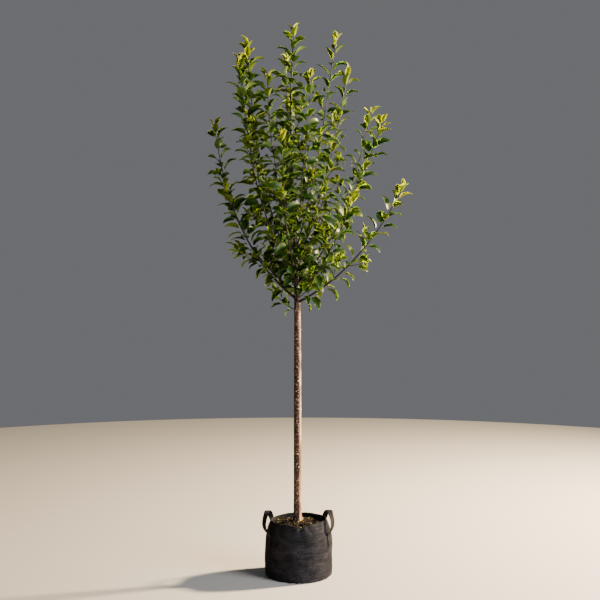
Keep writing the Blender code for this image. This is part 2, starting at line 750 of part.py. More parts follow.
def make_plant(plant, helpers, bark, leaf_green):
    wood, trunk, boughs, stems = plan_plant()
    solid = make_tube("trunk", *trunk, plant, sides=TRUNK_SIDES)
    solid.data.materials.append(bark)
    shade_round(solid)
    wider = [radius + CLEARANCE for radius in trunk[1]]
    cutter = make_tube("trunk_cutter", trunk[0], wider, helpers, sides=TRUNK_SIDES)
    cutter.hide_render = True
    cutter.display_type = "WIRE"
    for name, (points, radii) in boughs.items():
        bough = make_tube("bough_" + name, points, radii, plant, sides=BOUGH_SIDES)
        apply_boolean(bough, "DIFFERENCE", cutter, "EXACT")
        bough.data.materials.clear()
        bough.data.materials.append(bark)
        shade_round(bough)
    section = triangle_section(helpers)
    leaf_count = 0
    for owner, (name, stem) in enumerate(stems.items()):
        from_trunk = name.startswith("spray")
        rng = random.Random(SEED * 100 + owner)
        foot_share = SPRAY_FOOT_SHARE if from_trunk else 0.0
        twigs, leaves = grow_mass(owner, stem, wood, rng, foot_share)
        leaf_count += len(leaves)
        cutting = cutter if from_trunk else None
        make_mass("leaves_" + name, stem, twigs, leaves, cutting, section, (plant, helpers), leaf_green)
    print(f"{len(stems)} masses with {leaf_count} leaves")


def main():
    clear_scene()
    plant = new_collection("standard_tree_in_grow_bag")
    helpers = new_collection("helpers")
    felt = make_material("black_felt", (0.018, 0.018, 0.020), 0.95)
    webbing = make_material("black_webbing", (0.022, 0.022, 0.024), 0.85)
    compost = make_material("compost", (0.060, 0.040, 0.024), 1.0)
    bark = make_material("bark", (0.130, 0.085, 0.060), 0.80)
    leaf_green = make_material("leaf_green", (0.060, 0.150, 0.025), 0.45)
    make_bag(plant, felt)
    for name, place in HANDLES.items():
        make_handle(name, place, plant, webbing)
    make_compost(plant, compost)
    make_plant(plant, helpers, bark, leaf_green)


main()
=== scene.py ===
import math
import random

import bpy
import numpy as np
from mathutils import Matrix, Vector, noise


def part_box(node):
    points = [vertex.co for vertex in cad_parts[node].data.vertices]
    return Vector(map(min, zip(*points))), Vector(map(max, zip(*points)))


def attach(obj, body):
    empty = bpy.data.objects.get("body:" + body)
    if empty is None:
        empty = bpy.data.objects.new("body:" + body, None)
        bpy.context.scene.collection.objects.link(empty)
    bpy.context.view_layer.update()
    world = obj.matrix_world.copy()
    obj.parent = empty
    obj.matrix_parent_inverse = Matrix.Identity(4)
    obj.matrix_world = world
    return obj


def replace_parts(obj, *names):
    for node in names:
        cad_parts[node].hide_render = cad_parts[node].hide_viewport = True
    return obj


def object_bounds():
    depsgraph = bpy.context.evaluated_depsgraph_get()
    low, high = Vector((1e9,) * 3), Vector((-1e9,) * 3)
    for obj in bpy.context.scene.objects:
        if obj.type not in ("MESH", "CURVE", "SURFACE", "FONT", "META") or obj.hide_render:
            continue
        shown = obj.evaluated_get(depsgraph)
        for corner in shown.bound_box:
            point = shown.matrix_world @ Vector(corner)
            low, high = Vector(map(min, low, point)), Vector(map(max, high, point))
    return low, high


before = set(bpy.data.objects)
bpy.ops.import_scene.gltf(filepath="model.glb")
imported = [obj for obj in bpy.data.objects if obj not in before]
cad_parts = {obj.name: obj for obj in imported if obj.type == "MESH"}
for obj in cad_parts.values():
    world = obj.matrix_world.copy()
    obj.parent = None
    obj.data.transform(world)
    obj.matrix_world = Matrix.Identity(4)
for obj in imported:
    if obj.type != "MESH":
        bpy.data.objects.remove(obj)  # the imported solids: every piece below grows where they stand
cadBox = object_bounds()
print("frame loaded:", len(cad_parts), "nodes")

# The camera stands level in front of the tree, a little above the middle of the trunk.
cameraPlace = {"sideways": 0.007, "distance": 5.26, "height": 1.53, "focal": 56.56, "sensor": 36.0}


def placeCamera(place):
    lens = bpy.data.cameras.new("camera")
    lens.sensor_width = place["sensor"]
    lens.lens = place["focal"]
    camera = bpy.data.objects.new("camera", lens)
    camera.location = (place["sideways"], -place["distance"], place["height"])
    camera.rotation_euler = (math.radians(90), 0, 0)
    bpy.context.scene.collection.objects.link(camera)
    bpy.context.scene.camera = camera


placeCamera(cameraPlace)

# colours and nodes


def linear(hexColour):
    # sRGB hex to the linear numbers that Blender's sockets hold
    channels = [int(hexColour[i:i + 2], 16) / 255 for i in (1, 3, 5)]
    return tuple(c / 12.92 if c <= 0.04045 else ((c + 0.055) / 1.055) ** 2.4 for c in channels) + (1.0,)


def addNode(tree, kind, settings, inputs, output=0):
    # adds a node with its settings and its inputs, each a value or a link from another node, and gives
    # back one of its outputs; stops are the places and hex colours of a colour ramp
    node = tree.nodes.new("ShaderNode" + kind)
    for name, value in settings.items():
        if name != "stops":
            setattr(node, name, value)
    for index, (place, colour) in enumerate(settings.get("stops", ())):
        bands = node.color_ramp.elements
        band = bands[index] if index < len(bands) else bands.new(place)
        band.position = place
        band.color = linear(colour)
    for key, value in inputs.items():
        if isinstance(value, bpy.types.NodeSocket):
            tree.links.new(value, node.inputs[key])
        else:
            node.inputs[key].default_value = value
    return node.outputs[output]


def newMaterial(name, base, roughness, ior=1.45, shine=0.5, **sockets):
    # a Principled material with its plain values on the shader's own sockets
    material = bpy.data.materials.new(name)
    material.use_nodes = True
    shader = material.node_tree.nodes["Principled BSDF"]
    values = {"Base Color": linear(base), "Roughness": roughness, "IOR": ior, "Metallic": 0.0,
              "Specular IOR Level": shine}
    for key, value in (values | sockets).items():
        shader.inputs[key].default_value = value
    material.diffuse_color = linear(base)
    return material, material.node_tree, shader


def millimetres(tree, size, squash=(1, 1, 1)):
    # a pattern's inputs: object coordinates in which one unit is that many millimetres, squashed along
    # each axis
    place = addNode(tree, "TexCoord", {}, {}, "Object")
    scale = [1000 / size * s for s in squash]
    return {"Vector": addNode(tree, "Mapping", {}, {"Vector": place, "Scale": scale}), "Scale": 1.0}


def bumped(tree, shader, height, depth):
    # relief of that many millimetres, on top of any that the shader already has
    inputs = {"Height": height, "Distance": depth / 1000}
    for link in shader.inputs["Normal"].links:
        inputs["Normal"] = link.from_socket
    tree.links.new(addNode(tree, "Bump", {}, inputs), shader.inputs["Normal"])


def grained(tree, shader, size, squash, detail, stops, depth, rough=0.5):
    # colour and relief that follow one grain, its size and its depth in millimetres
    fine = {"Detail": detail, "Roughness": rough}
    grain = addNode(tree, "TexNoise", {}, millimetres(tree, size, squash) | fine)
    colour = addNode(tree, "ValToRGB", {"stops": stops}, {"Fac": grain})
    tree.links.new(colour, shader.inputs["Base Color"])
    bumped(tree, shader, grain, depth)


# materials of the tree

# Leaves: a waxy upper side over living green, thin enough for some light to pass through.
# Old leaves are deep and glossy, tip leaves yellow-green and softer, undersides pale and matte.
leafTones = {
    "deep": {"upper": "#22370f", "lower": "#2e4313", "rough": 0.42, "glow": 0.25, "shine": 0.18},
    "fresh": {"upper": "#303f07", "lower": "#3a4809", "rough": 0.44, "glow": 0.40, "shine": 0.11},
    "young": {"upper": "#4d5703", "lower": "#576105", "rough": 0.50, "glow": 0.50, "shine": 0.06},
}
leafSkin = {"ior": 1.40, "undersideRough": 0.62, "glowRadius": (0.85, 1.0, 0.2), "glowDepth": 0.001}


def leafMaterials(tone, look):
    glow = {"Subsurface Weight": look["glow"], "Subsurface Radius": leafSkin["glowRadius"],
            "Subsurface Scale": leafSkin["glowDepth"]}
    sides = (("waxyLeafUpper_", "upper", look["rough"]),
             ("hairyLeafUnderside_", "lower", leafSkin["undersideRough"]))
    return [newMaterial(name + tone, look[side], rough, leafSkin["ior"], look["shine"], **glow)[0]
            for name, side, rough in sides]


barkLook = {  # pattern sizes in millimetres, places in metres
    "patch": 45, "skin": [(0.34, "#1a0f0a"), (0.48, "#2e1b12"), (0.64, "#432c1e")],
    # the pale tan is painted sunlight on the trunk's side towards the key light, where x passes from 2.5 mm
    # to 7.5 mm
    "paintedSunlight": [(0.42, "#704b31"), (0.51, "#b57d4e"), (0.60, "#cd9a69")], "paintedSunlightFrom": (0.0025, 0.0075),
    # darker from 1.50 m up: partly younger wood, partly painted shade of the leaves over the stem
    "crown": "#1c1310", "crownFrom": (1.50, 1.85),
    "foot": "#140d0a", "footFrom": (0.95, 0.40), "footShare": 0.35,
    "streak": 6, "streaks": [(0.38, "#85776b"), (0.58, "#ffffff")], "streakShare": 0.40,
    # the second pore colour is for pores within the painted sunlight
    "poreCell": 9, "poreEdge": (0.42, 0.26), "poreless": 0.72, "pore": "#b89f88", "poreInPaintedSunlight": "#6b4830",
    "rough": (0.46, 0.62), "relief": 0.5,
}


def satinBark():
    # Young fruit-tree bark, grown as one smooth satin skin: brown in soft patches, painted a pale tan on the
    # side towards the key light as painted sunlight, and crossed by short corky pores, which show as fine
    # pale level dashes.
    look = barkLook
    material, tree, shader = newMaterial("satinBark", "#34231b", 0.50, 1.50, 0.20)
    patches, streaks = [
        addNode(tree, "TexNoise", {}, millimetres(tree, look[name], (1, 1, flat)) | {"Detail": detail})
        for name, flat, detail in (("patch", 0.5, 5.0), ("streak", 0.12, 4.0))]
    # the brown skin, the pale tan of painted sunlight, and the streaks
    skin, paintedSunlight, streaked = [
        addNode(tree, "ValToRGB", {"stops": stops}, {"Fac": pattern}) for pattern, stops in
        ((patches, look["skin"]), (patches, look["paintedSunlight"]), (streaks, look["streaks"]))]
    # how far a place is to the sun's side, where sunlight is painted; up in the crown, where the wood is
    # younger and darker and the leaves' shade is painted; and down in the damp
    place = addNode(tree, "TexCoord", {}, {}, "Object")
    place = addNode(tree, "SeparateXYZ", {}, {"Vector": place}).node.outputs
    sunSide, young, damp, rough = [
        addNode(tree, "MapRange", {"interpolation_type": ease},
                {"Value": value, "From Min": start[0], "From Max": start[1],
                 "To Min": to[0], "To Max": to[1]})
        for ease, value, start, to in (
            ("SMOOTHSTEP", place["X"], look["paintedSunlightFrom"], (0.0, 1.0)),
            ("LINEAR", place["Z"], look["crownFrom"], (0.0, 1.0)),
            ("LINEAR", place["Z"], look["footFrom"], (0.0, look["footShare"])),
            ("LINEAR", patches, (0.0, 1.0), look["rough"]))]
    # pores about 7 mm wide and 1.5 mm high, in about one cell of four, pale on the brown skin and brown
    # within the painted sunlit tan
    cells = addNode(tree, "TexVoronoi", {}, millimetres(tree, look["poreCell"], (1, 1, 3.6)))
    edge = {"From Min": look["poreEdge"][0], "From Max": look["poreEdge"][1]}
    core = addNode(tree, "MapRange", {}, {"Value": cells} | edge)
    chance = addNode(tree, "SeparateColor", {}, {"Color": cells.node.outputs["Color"]})
    chosen = addNode(tree, "Math", {"operation": "GREATER_THAN"}, {0: chance, 1: look["poreless"]})
    pores = addNode(tree, "Math", {"operation": "MULTIPLY"}, {0: core, 1: chosen})
    cork = addNode(tree, "Mix", {"data_type": "RGBA"},
                   {"Factor": sunSide, 6: linear(look["pore"]), 7: linear(look["poreInPaintedSunlight"])}, 2)
    # layers: the painted sunlight, the crown's darker wood with painted leaf shade, the darker foot, the
    # streaks and the pores
    layers = (("MIX", sunSide, paintedSunlight), ("MIX", young, linear(look["crown"])),
              ("MIX", damp, linear(look["foot"])), ("MULTIPLY", look["streakShare"], streaked),
              ("MIX", pores, cork))
    for blend, share, over in layers:
        skin = addNode(tree, "Mix", {"data_type": "RGBA", "blend_type": blend},
                       {"Factor": share, 6: skin, 7: over}, 2)
    tree.links.new(skin, shader.inputs["Base Color"])
    tree.links.new(rough, shader.inputs["Roughness"])
    bumped(tree, shader, streaks, look["relief"])
    bumped(tree, shader, pores, look["relief"])
    return material


def corkyPore():
    # The pores and scars are dry cork: pale and matte against the satin skin around them.
    return newMaterial("corkyPore", "#b8a696", 0.85)[0]


def shootBark():
    # This and last year's shoots: a thin glossy skin, reddish brown with paler ribs.
    material, tree, shader = newMaterial("shootBark", "#251a14", 0.50, shine=0.12)
    grained(tree, shader, 5, (1, 1, 0.2), 3.0, [(0.35, "#120c09"), (0.65, "#291c15")], 0.3)
    return material


# meshes


def newSkin():
    return {"verts": [], "faces": [], "slots": [], "count": 0}


def asArray(points):
    return np.array([tuple(point) for point in points])


def addPatch(skin, verts, faces):
    # adds an array of points and the faces between them
    skin["verts"].append(np.asarray(verts, float).reshape(-1, 3))
    skin["faces"] += [tuple(int(i) + skin["count"] for i in face) for face in faces]
    skin["slots"] += [0] * len(faces)
    skin["count"] += len(skin["verts"][-1])


def addRound(skin, points, rings, sides):
    # a closed skin through rings of points, each ring with that many sides
    faces = []
    for ring in range(rings - 1):
        for step in range(sides):
            following = (step + 1) % sides
            faces.append((ring * sides + step, ring * sides + following,
                          (ring + 1) * sides + following, (ring + 1) * sides + step))
    faces.append(tuple(reversed(range(sides))))
    faces.append(tuple((rings - 1) * sides + step for step in range(sides)))
    addPatch(skin, points, faces)

def makePiece(name, skin, materials, edge=50):
    # one shown piece, smooth but for edges sharper than the given angle
    mesh = bpy.data.meshes.new(name)
    mesh.from_pydata(np.vstack(skin["verts"]).tolist(), [], skin["faces"])
    for material in materials:
        mesh.materials.append(material)
    mesh.polygons.foreach_set("material_index", skin["slots"])
    mesh.validate()
    mesh.update()
    mesh.shade_smooth()
    mesh.set_sharp_from_angle(angle=math.radians(edge))
    piece = bpy.data.objects.new(name, mesh)
    bpy.context.scene.collection.objects.link(piece)
    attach(piece, "root")
    return piece


def addTube(skin, points, radii, sides, relief=None):
    # rings square to a line, carried along it without twist, and closed at both ends
    points = asArray(points)
    ways = np.gradient(points, axis=0)
    ways /= np.linalg.norm(ways, axis=1)[:, None]
    turns = np.arange(sides) * math.tau / sides
    side = np.cross(ways[0], (0.31, 0.95, 0.07))  # any direction that no line here runs in
    rings = []
    for point, way, radius in zip(points, ways, radii):
        side = side - way * side.dot(way)
        side /= np.linalg.norm(side)
        outward = np.outer(np.cos(turns), side) + np.outer(np.sin(turns), np.cross(way, side))
        reach = radius
        if relief:
            reach = (radius + relief(point + outward * radius, outward, point))[:, None]
        rings.append(point + outward * reach)
    addRound(skin, np.vstack(rings), len(rings), sides)


# where the wood runs: the source's rule, in the same sizes

trunkShape = {
    "girth": ((0.299, 0.0265), (0.330, 0.0228), (0.420, 0.0214), (0.900, 0.0204), (1.300, 0.0190),
              (1.480, 0.0176), (1.700, 0.0132), (1.950, 0.0102), (2.300, 0.0072), (2.620, 0.0050)),
    "aside": -0.007, "sway": 0.006, "swayLength": 1.3, "leaderBow": 0.036, "bowFrom": 1.35, "bowTo": 2.60,
    "leaderTip": 3.026, "leaderTipAside": -0.020,
}
limbs = {  # height on the trunk, azimuth in degrees, reach, height of the tip, how far out it bends
    "right_low": (1.515, -8, 0.578, 2.135, 0.60),
    "left_mid": (1.535, 176, 0.468, 2.510, 0.79),
    "back_mid": (1.550, 96, 0.410, 2.400, 0.70),
    "right_front": (1.565, -52, 0.460, 2.060, 0.62),
    "left_low": (1.580, -165, 0.405, 2.130, 0.66),
    "front_low": (1.600, -102, 0.400, 2.360, 0.70),
    "back_right": (1.605, 62, 0.410, 2.480, 0.72),
    "right_mid": (1.620, -15, 0.480, 2.500, 0.52),
    "left_front": (1.640, -146, 0.375, 2.800, 0.76),
    "back_left": (1.655, 134, 0.400, 2.590, 0.76),
    "right_back": (1.670, 20, 0.450, 2.610, 0.68),
    "left_upper": (1.700, 162, 0.300, 2.975, 0.78),
    "right_upper": (1.745, 40, 0.385, 2.860, 0.55),
    "right_inner": (1.810, -30, 0.240, 2.950, 0.52),
    "left_inner": (1.850, -124, 0.290, 2.730, 0.76),
    "front_inner": (1.900, -76, 0.285, 2.710, 0.74),
    "back_inner": (1.960, 108, 0.220, 2.920, 0.74),
}
limbShape = {
    "bendRise": 0.27, "baseShare": 0.40, "tipRadius": 0.0016, "taper": 0.8, "wander": 0.005, "waves": 11,
    "points": 60, "leaderSteps": 20, "boughShare": 0.22,
}
goldenAngle = math.radians(137.5)


def mix(pair, share):
    return pair[0] + (pair[1] - pair[0]) * share


def around(turn, radius=1.0, height=0.0):
    # the point at an angle round the upright axis
    return Vector((math.cos(turn) * radius, math.sin(turn) * radius, height))


def trunkCentre(height):
    low, high = trunkShape["bowFrom"], trunkShape["bowTo"]
    share = min(1.0, max(0.0, (height - low) / (high - low)))
    bow = -trunkShape["leaderBow"] * share * share * (3 - 2 * share)
    above = height - trunkShape["girth"][0][0]
    sway = trunkShape["sway"] * math.sin(math.pi * above / trunkShape["swayLength"])
    return Vector((trunkShape["aside"] + bow, sway, height))


def trunkRadius(height):
    heights, radii = zip(*trunkShape["girth"])
    return float(np.interp(height, heights, radii))


def trunkLine(low, high, count):
    heights = np.linspace(low, high, count)
    return [trunkCentre(height) for height in heights], [trunkRadius(height) for height in heights]


def bezier(start, bend, end, share):
    return start * (1 - share) ** 2 + bend * 2 * share * (1 - share) + end * share ** 2


def curve(start, bend, end, radii, steps):
    # a line of points and radii
    shares = [step / steps for step in range(steps + 1)]
    return [bezier(start, bend, end, share) for share in shares], [mix(radii, share) for share in shares]


def limbLine(name):
    footHeight, azimuth, reach, tipHeight, bendOut = limbs[name]
    outward = around(math.radians(azimuth))
    foot = trunkCentre(footHeight)
    rise = (tipHeight - footHeight) * limbShape["bendRise"]
    bend = foot + outward * reach * bendOut + Vector((0, 0, rise))
    tip = Vector((trunkShape["aside"], 0, tipHeight)) + outward * reach
    aside = Vector((-outward.y, outward.x, 0))
    footRadius = trunkRadius(footHeight) * limbShape["baseShare"]
    points, radii = [], []
    for index in range(limbShape["points"]):
        share = index / (limbShape["points"] - 1)
        wave = math.sin(share * limbShape["waves"] + azimuth) * limbShape["wander"]
        points.append(bezier(foot, bend, tip, share) + aside * (wave * math.sin(math.pi * share)))
        radii.append(mix((footRadius, limbShape["tipRadius"]), share ** limbShape["taper"]))
    return points, radii


def leaderLine():
    footHeight, footRadius = trunkShape["girth"][-1]
    foot = trunkCentre(footHeight)
    tip = Vector((trunkShape["aside"] + trunkShape["leaderTipAside"], foot.y, trunkShape["leaderTip"]))
    bend = (foot + tip) / 2
    bend.x = foot.x
    return curve(foot, bend, tip, (footRadius, limbShape["tipRadius"]), limbShape["leaderSteps"])


def lineLengths(points):
    lengths = [0.0]
    for first, second in zip(points, points[1:]):
        lengths.append(lengths[-1] + (second - first).length)
    return lengths
def lengthOf(line):
    return lineLengths(line[0])[-1]

def along(line, distance):
    # point, direction and radius at a distance along a line
    points, radii = line
    lengths = lineLengths(points)
    index = int(np.searchsorted(lengths, distance, side="right")) - 1
    index = min(max(index, 0), len(points) - 2)
    span = lengths[index + 1] - lengths[index]
    share = (distance - lengths[index]) / span
    direction = (points[index + 1] - points[index]) / span
    place = points[index] + direction * (distance - lengths[index])
    return place, direction, mix(radii[index:index + 2], share)


def stretch(line, start, end, pieces):
    found = [along(line, start + (end - start) * index / pieces) for index in range(pieces + 1)]
    return [point for point, _, _ in found], [radius for _, _, radius in found]


def sideOf(direction, turn):
    level = direction.cross(Vector((0, 0, 1)))
    if level.length < 1e-3:
        level = Vector((1, 0, 0))
    return (Matrix.Rotation(turn, 3, direction) @ level).normalized()


# trunk and boughs

barkRelief = {
    "sides": 48, "ringGap": 0.0035, "ripple": 0.0005, "ripples": ((70, 1.0), (190, 0.5)),
    "flute": 0.0022, "flutes": 5, "fluteHeight": 0.10, "fluteFade": 3,
    "nodesFrom": 0.08, "nodesTo": 1.5, "nodeGap": (0.085, 0.150), "nodeRise": 0.0011, "nodeHeight": 0.0045,
    "nodeRound": 0.35, "limbRipple": (90, 0.7), "boughStep": 0.006, "boughSides": 20,
    "collar": 0.55, "collarLength": 0.014,
    "pores": 230, "poreFrom": 0.03, "poreTop": 1.75, "poreWide": (0.003, 0.007),
    "poreHigh": (0.0008, 0.0013), "poreRise": 0.0009, "poreRises": (0.5, 1.2),
    "scars": ((1.079, -76, 0.0055, 0.0035, 0.0026), (1.022, -112, 0.0040, 0.0026, 0.0018),
              (0.923, -66, 0.0075, 0.0022, 0.0024), (0.831, -80, 0.0034, 0.0030, 0.0022),
              (0.799, -70, 0.0045, 0.0024, 0.0018), (0.673, -92, 0.0070, 0.0026, 0.0022),
              (0.601, -70, 0.0060, 0.0020, 0.0020), (1.262, -84, 0.0040, 0.0022, 0.0018),
              (0.452, -88, 0.0046, 0.0024, 0.0016), (1.170, 70, 0.0060, 0.0032, 0.0024),
              (0.870, 150, 0.0055, 0.0026, 0.0022), (0.560, 40, 0.0060, 0.0030, 0.0022)),
}


def trunkRelief(rng):
    # shallow ripples, the flutes of the root flare, and the swellings where buds once sat
    look, foot = barkRelief, trunkShape["girth"][0][0]
    nodes = []
    height = foot + look["nodesFrom"]
    while height < look["nodesTo"]:
        nodes.append((height, rng.uniform(0, math.tau)))
        height += rng.uniform(*look["nodeGap"])

    def relief(surface, outward, centre):
        height = centre[2]
        turns = np.arctan2(outward[:, 1], outward[:, 0])
        rise = np.array([sum(noise.noise(Vector(p) * often) * much for often, much in look["ripples"])
                         for p in surface]) * look["ripple"]
        flare = math.exp(-(height - foot) / look["fluteHeight"] * look["fluteFade"])
        rise += look["flute"] * flare * np.cos(turns * look["flutes"] + 0.8 * np.sin(turns * 2 + 1))
        for nodeHeight, nodeTurn in nodes:
            away = (height - nodeHeight) / look["nodeHeight"]
            if abs(away) < 3:
                facing = np.clip(np.cos(turns - nodeTurn), 0, 1) ** 2
                rise += look["nodeRise"] * math.exp(-away * away) * mix((look["nodeRound"], 1.0), facing)
        return rise

    return relief


def limbRelief(surface, outward, centre):
    often, much = barkRelief["limbRipple"]
    return np.array([noise.noise(Vector(p) * often) for p in surface]) * barkRelief["ripple"] * much


# a pore's outline, how deep its rim and its back lie, and its shoulder and crown as shares of its size
poreShape = {"corners": 12, "rim": 0.0004, "back": 0.0014, "shoulder": (0.6, 0.55), "crown": 1.1}


def addPore(skin, relief, height, turn, wide, high, rise):
    # a corky lens that follows the round of the trunk, its rim and its back sunk in the bark
    def onBark(aside, up, lift):
        centre = trunkCentre(height + up)
        reach = trunkRadius(height + up)
        angle = turn + aside / reach
        outward = np.array([[math.cos(angle), math.sin(angle), 0.0]])
        surface = np.array(centre) + outward * reach
        reach += float(relief(surface, outward, np.array(centre))[0])
        return tuple(np.array(centre) + outward[0] * (reach + lift))

    count = poreShape["corners"]
    shoulderWide, shoulderHigh = poreShape["shoulder"]
    points = []
    for across, up, lift in ((1, 1, -poreShape["rim"]), (shoulderWide, shoulderHigh, rise)):
        for angle in [math.tau * step / count for step in range(count)]:
            points.append(onBark(across * wide * math.cos(angle), up * high * math.sin(angle), lift))
    points += [onBark(0, 0, rise * poreShape["crown"]), onBark(0, 0, -poreShape["back"])]
    faces = []
    for step in range(count):
        following = (step + 1) % count
        faces.append((step, following, count + following, count + step))
        faces.append((count + step, count + following, 2 * count))
        faces.append((following, step, 2 * count + 1))
    addPatch(skin, points, faces)


def growTrunk(bark, cork):
    look, rng = barkRelief, random.Random(5)
    relief = trunkRelief(rng)
    low, high = trunkShape["girth"][0][0], trunkShape["girth"][-1][0]
    skin = newSkin()
    addTube(skin, *trunkLine(low, high, int((high - low) / look["ringGap"])), look["sides"], relief)
    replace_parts(makePiece("trunkBark", skin, [bark], 70), "trunk")
    pores = newSkin()
    for _ in range(look["pores"]):
        height = low + look["poreFrom"] + (look["poreTop"] - low) * rng.random()
        wide, tall = rng.uniform(*look["poreWide"]), rng.uniform(*look["poreHigh"])
        turn = rng.uniform(0, math.tau)
        addPore(pores, relief, height, turn, wide, tall, look["poreRise"] * rng.uniform(*look["poreRises"]))
    for height, azimuth, wide, tall, rise in look["scars"]:
        addPore(pores, relief, height, math.radians(azimuth), wide, tall, rise)
    makePiece("trunkPores", pores, [cork], 60)


def growBoughs(lines, bark):
    # each bough swells into a collar where it leaves the trunk
    look, skin = barkRelief, newSkin()
    for name, line in lines.items():
        split = limbShape["boughShare"] * lengthOf(line)
        points, radii = stretch(line, 0, split, int(split / look["boughStep"]))
        base = trunkRadius(limbs[name][0])
        gaps = [max(0.0, distance - base) for distance in lineLengths(points)]
        swell = [1 + look["collar"] * math.exp(-gap / look["collarLength"]) for gap in gaps]
        addTube(skin, points, [r * s for r, s in zip(radii, swell)], look["boughSides"], limbRelief)
    piece = makePiece("boughBark", skin, [bark], 70)
    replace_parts(piece, *["bough_" + name for name in lines])


# leaves

leafForm = {
    "rows": 12, "columns": (-1, -0.66, -0.33, 0, 0.33, 0.66, 1),
    "widthShare": 0.50, "widestEarly": 0.80, "fullness": 0.82, "foot": 0.010, "leastHalf": 0.003,
    "veinLean": 0.12, "leanFade": 0.4, "tooth": 0.045, "foldPower": 1.25,
    "pleat": 0.0030, "pleatEdge": 1.1, "wave": 0.012, "waves": 13,
    "spineSteps": 40, "archPower": 1.2, "thickness": 0.0035, "midrib": 0.007, "upperRib": 0.4,
}


def halfWidth(way):
    # an egg-shaped outline, widest before the middle and drawn out to a point
    body = np.sin(math.pi * np.clip(way, 0, 1) ** leafForm["widestEarly"])
    half = 0.5 * leafForm["widthShare"] * np.clip(body, 0, 1) ** leafForm["fullness"]
    return half + leafForm["foot"] * (1 - way) + leafForm["leastHalf"]


def leafFaces():
    # the upper grid, and a lower one that shares its rim
    rows, columns = leafForm["rows"], len(leafForm["columns"])
    upper = np.arange((rows + 1) * columns).reshape(rows + 1, columns)
    lower = upper.copy()
    inner = (rows - 1) * (columns - 2)
    lower[1:-1, 1:-1] = upper.size + np.arange(inner).reshape(rows - 1, columns - 2)
    faces, slots = [], []
    for grid, slot in ((upper, 0), (lower, 1)):
        for row in range(rows):
            for column in range(columns - 1):
                face = (grid[row, column], grid[row + 1, column],
                        grid[row + 1, column + 1], grid[row, column + 1])
                faces.append(face[::-1] if slot == 0 else face)
                slots.append(slot)
    return np.array(faces), slots


def leafPoints(fold, arch, twist, phase):
    # a leaf of length 1 along +X, its upper side up: rows lean forward along the side veins
    form = leafForm
    rows = np.linspace(0, 1, form["rows"] + 1)[:, None]
    across = np.array(form["columns"])[None, :]
    width = np.abs(across)
    atEdge = width > 0.99
    way = rows + form["veinLean"] * width * np.sin(math.pi * rows) * (1 - form["leanFade"] * rows)
    parity = np.where(np.arange(form["rows"] + 1) % 2, 1.0, -1.0)[:, None]
    half = halfWidth(way) * (1 + form["tooth"] * parity * atEdge * np.sin(math.pi * rows))
    body = np.sin(math.pi * np.clip(way, 0, 1))
    lift = fold * width ** form["foldPower"] * half
    lift = lift + form["pleat"] * parity * width * (form["pleatEdge"] - width) * 2 * body
    lift = lift + form["wave"] * np.sin(way * form["waves"] + phase + across) * width ** 2 * body
    count = form["spineSteps"]
    steps = np.linspace(0, 1, count + 1)
    slope = arch[0] - (arch[0] + arch[1]) * steps ** form["archPower"]
    spineX = np.concatenate([[0], np.cumsum(np.cos(slope[:-1]) / count)])
    spineZ = np.concatenate([[0], np.cumsum(np.sin(slope[:-1]) / count)])
    tilt = np.interp(way, steps, slope)
    roll = twist * way
    sideways = across * half * np.cos(roll) - lift * np.sin(roll)
    above = across * half * np.sin(roll) + lift * np.cos(roll)

    def placed(raised):
        x = np.interp(way, steps, spineX) - raised * np.sin(tilt)
        z = np.interp(way, steps, spineZ) + raised * np.cos(tilt)
        return np.stack([x, sideways, z], axis=-1)

    rim = atEdge | (rows < 0.01) | (rows > 0.99)
    skin = np.where(rim, 0, form["thickness"] / 2)
    rib = form["midrib"] * (width < 0.01) * (1 - rows)
    upper = placed(above + skin - form["upperRib"] * rib)
    lower = placed(above - skin - rib)
    return np.vstack([upper.reshape(-1, 3), lower[1:-1, 1:-1].reshape(-1, 3)])


leafFaceIndex, leafFaceSlots = leafFaces()


# radii from foot to tip, times the leaf's length in metres over forLength: stalks as thick as life
# would take 0.090, so these are hair-fine
stalkForm = {
    "radii": (0.0011, 0.0008, 0.0008, 0.0005), "forLength": 90, "sides": 5, "sag": 0.0012,
    "intoBlade": 0.004,
}


def setLeaf(skins, stalks, leaf):
    # stalk and blade of one leaf, each in its own kind's skin
    blade = leafPoints(leaf["fold"], leaf["arch"], leaf["twist"], leaf["phase"]) * leaf["length"]
    root, direction, upper = leaf["root"], leaf["direction"], leaf["upper"]
    stalkEnd = root + direction * leaf["stalk"]
    skin = skins[leaf["tone"], leaf["side"]]
    skin["verts"].append(blade @ asArray((direction, upper.cross(direction), upper)) + np.array(stalkEnd))
    skin["faces"] += (leafFaceIndex + skin["count"]).tolist()
    skin["slots"] += leafFaceSlots
    skin["count"] += len(blade)
    middle = (root + stalkEnd) / 2 - upper * stalkForm["sag"]
    thick = leaf["length"] / stalkForm["forLength"]
    ends = [root, middle, stalkEnd, stalkEnd + direction * stalkForm["intoBlade"]]
    addTube(stalks, ends, [radius * thick for radius in stalkForm["radii"]], stalkForm["sides"])


# how shoots and leaves grow

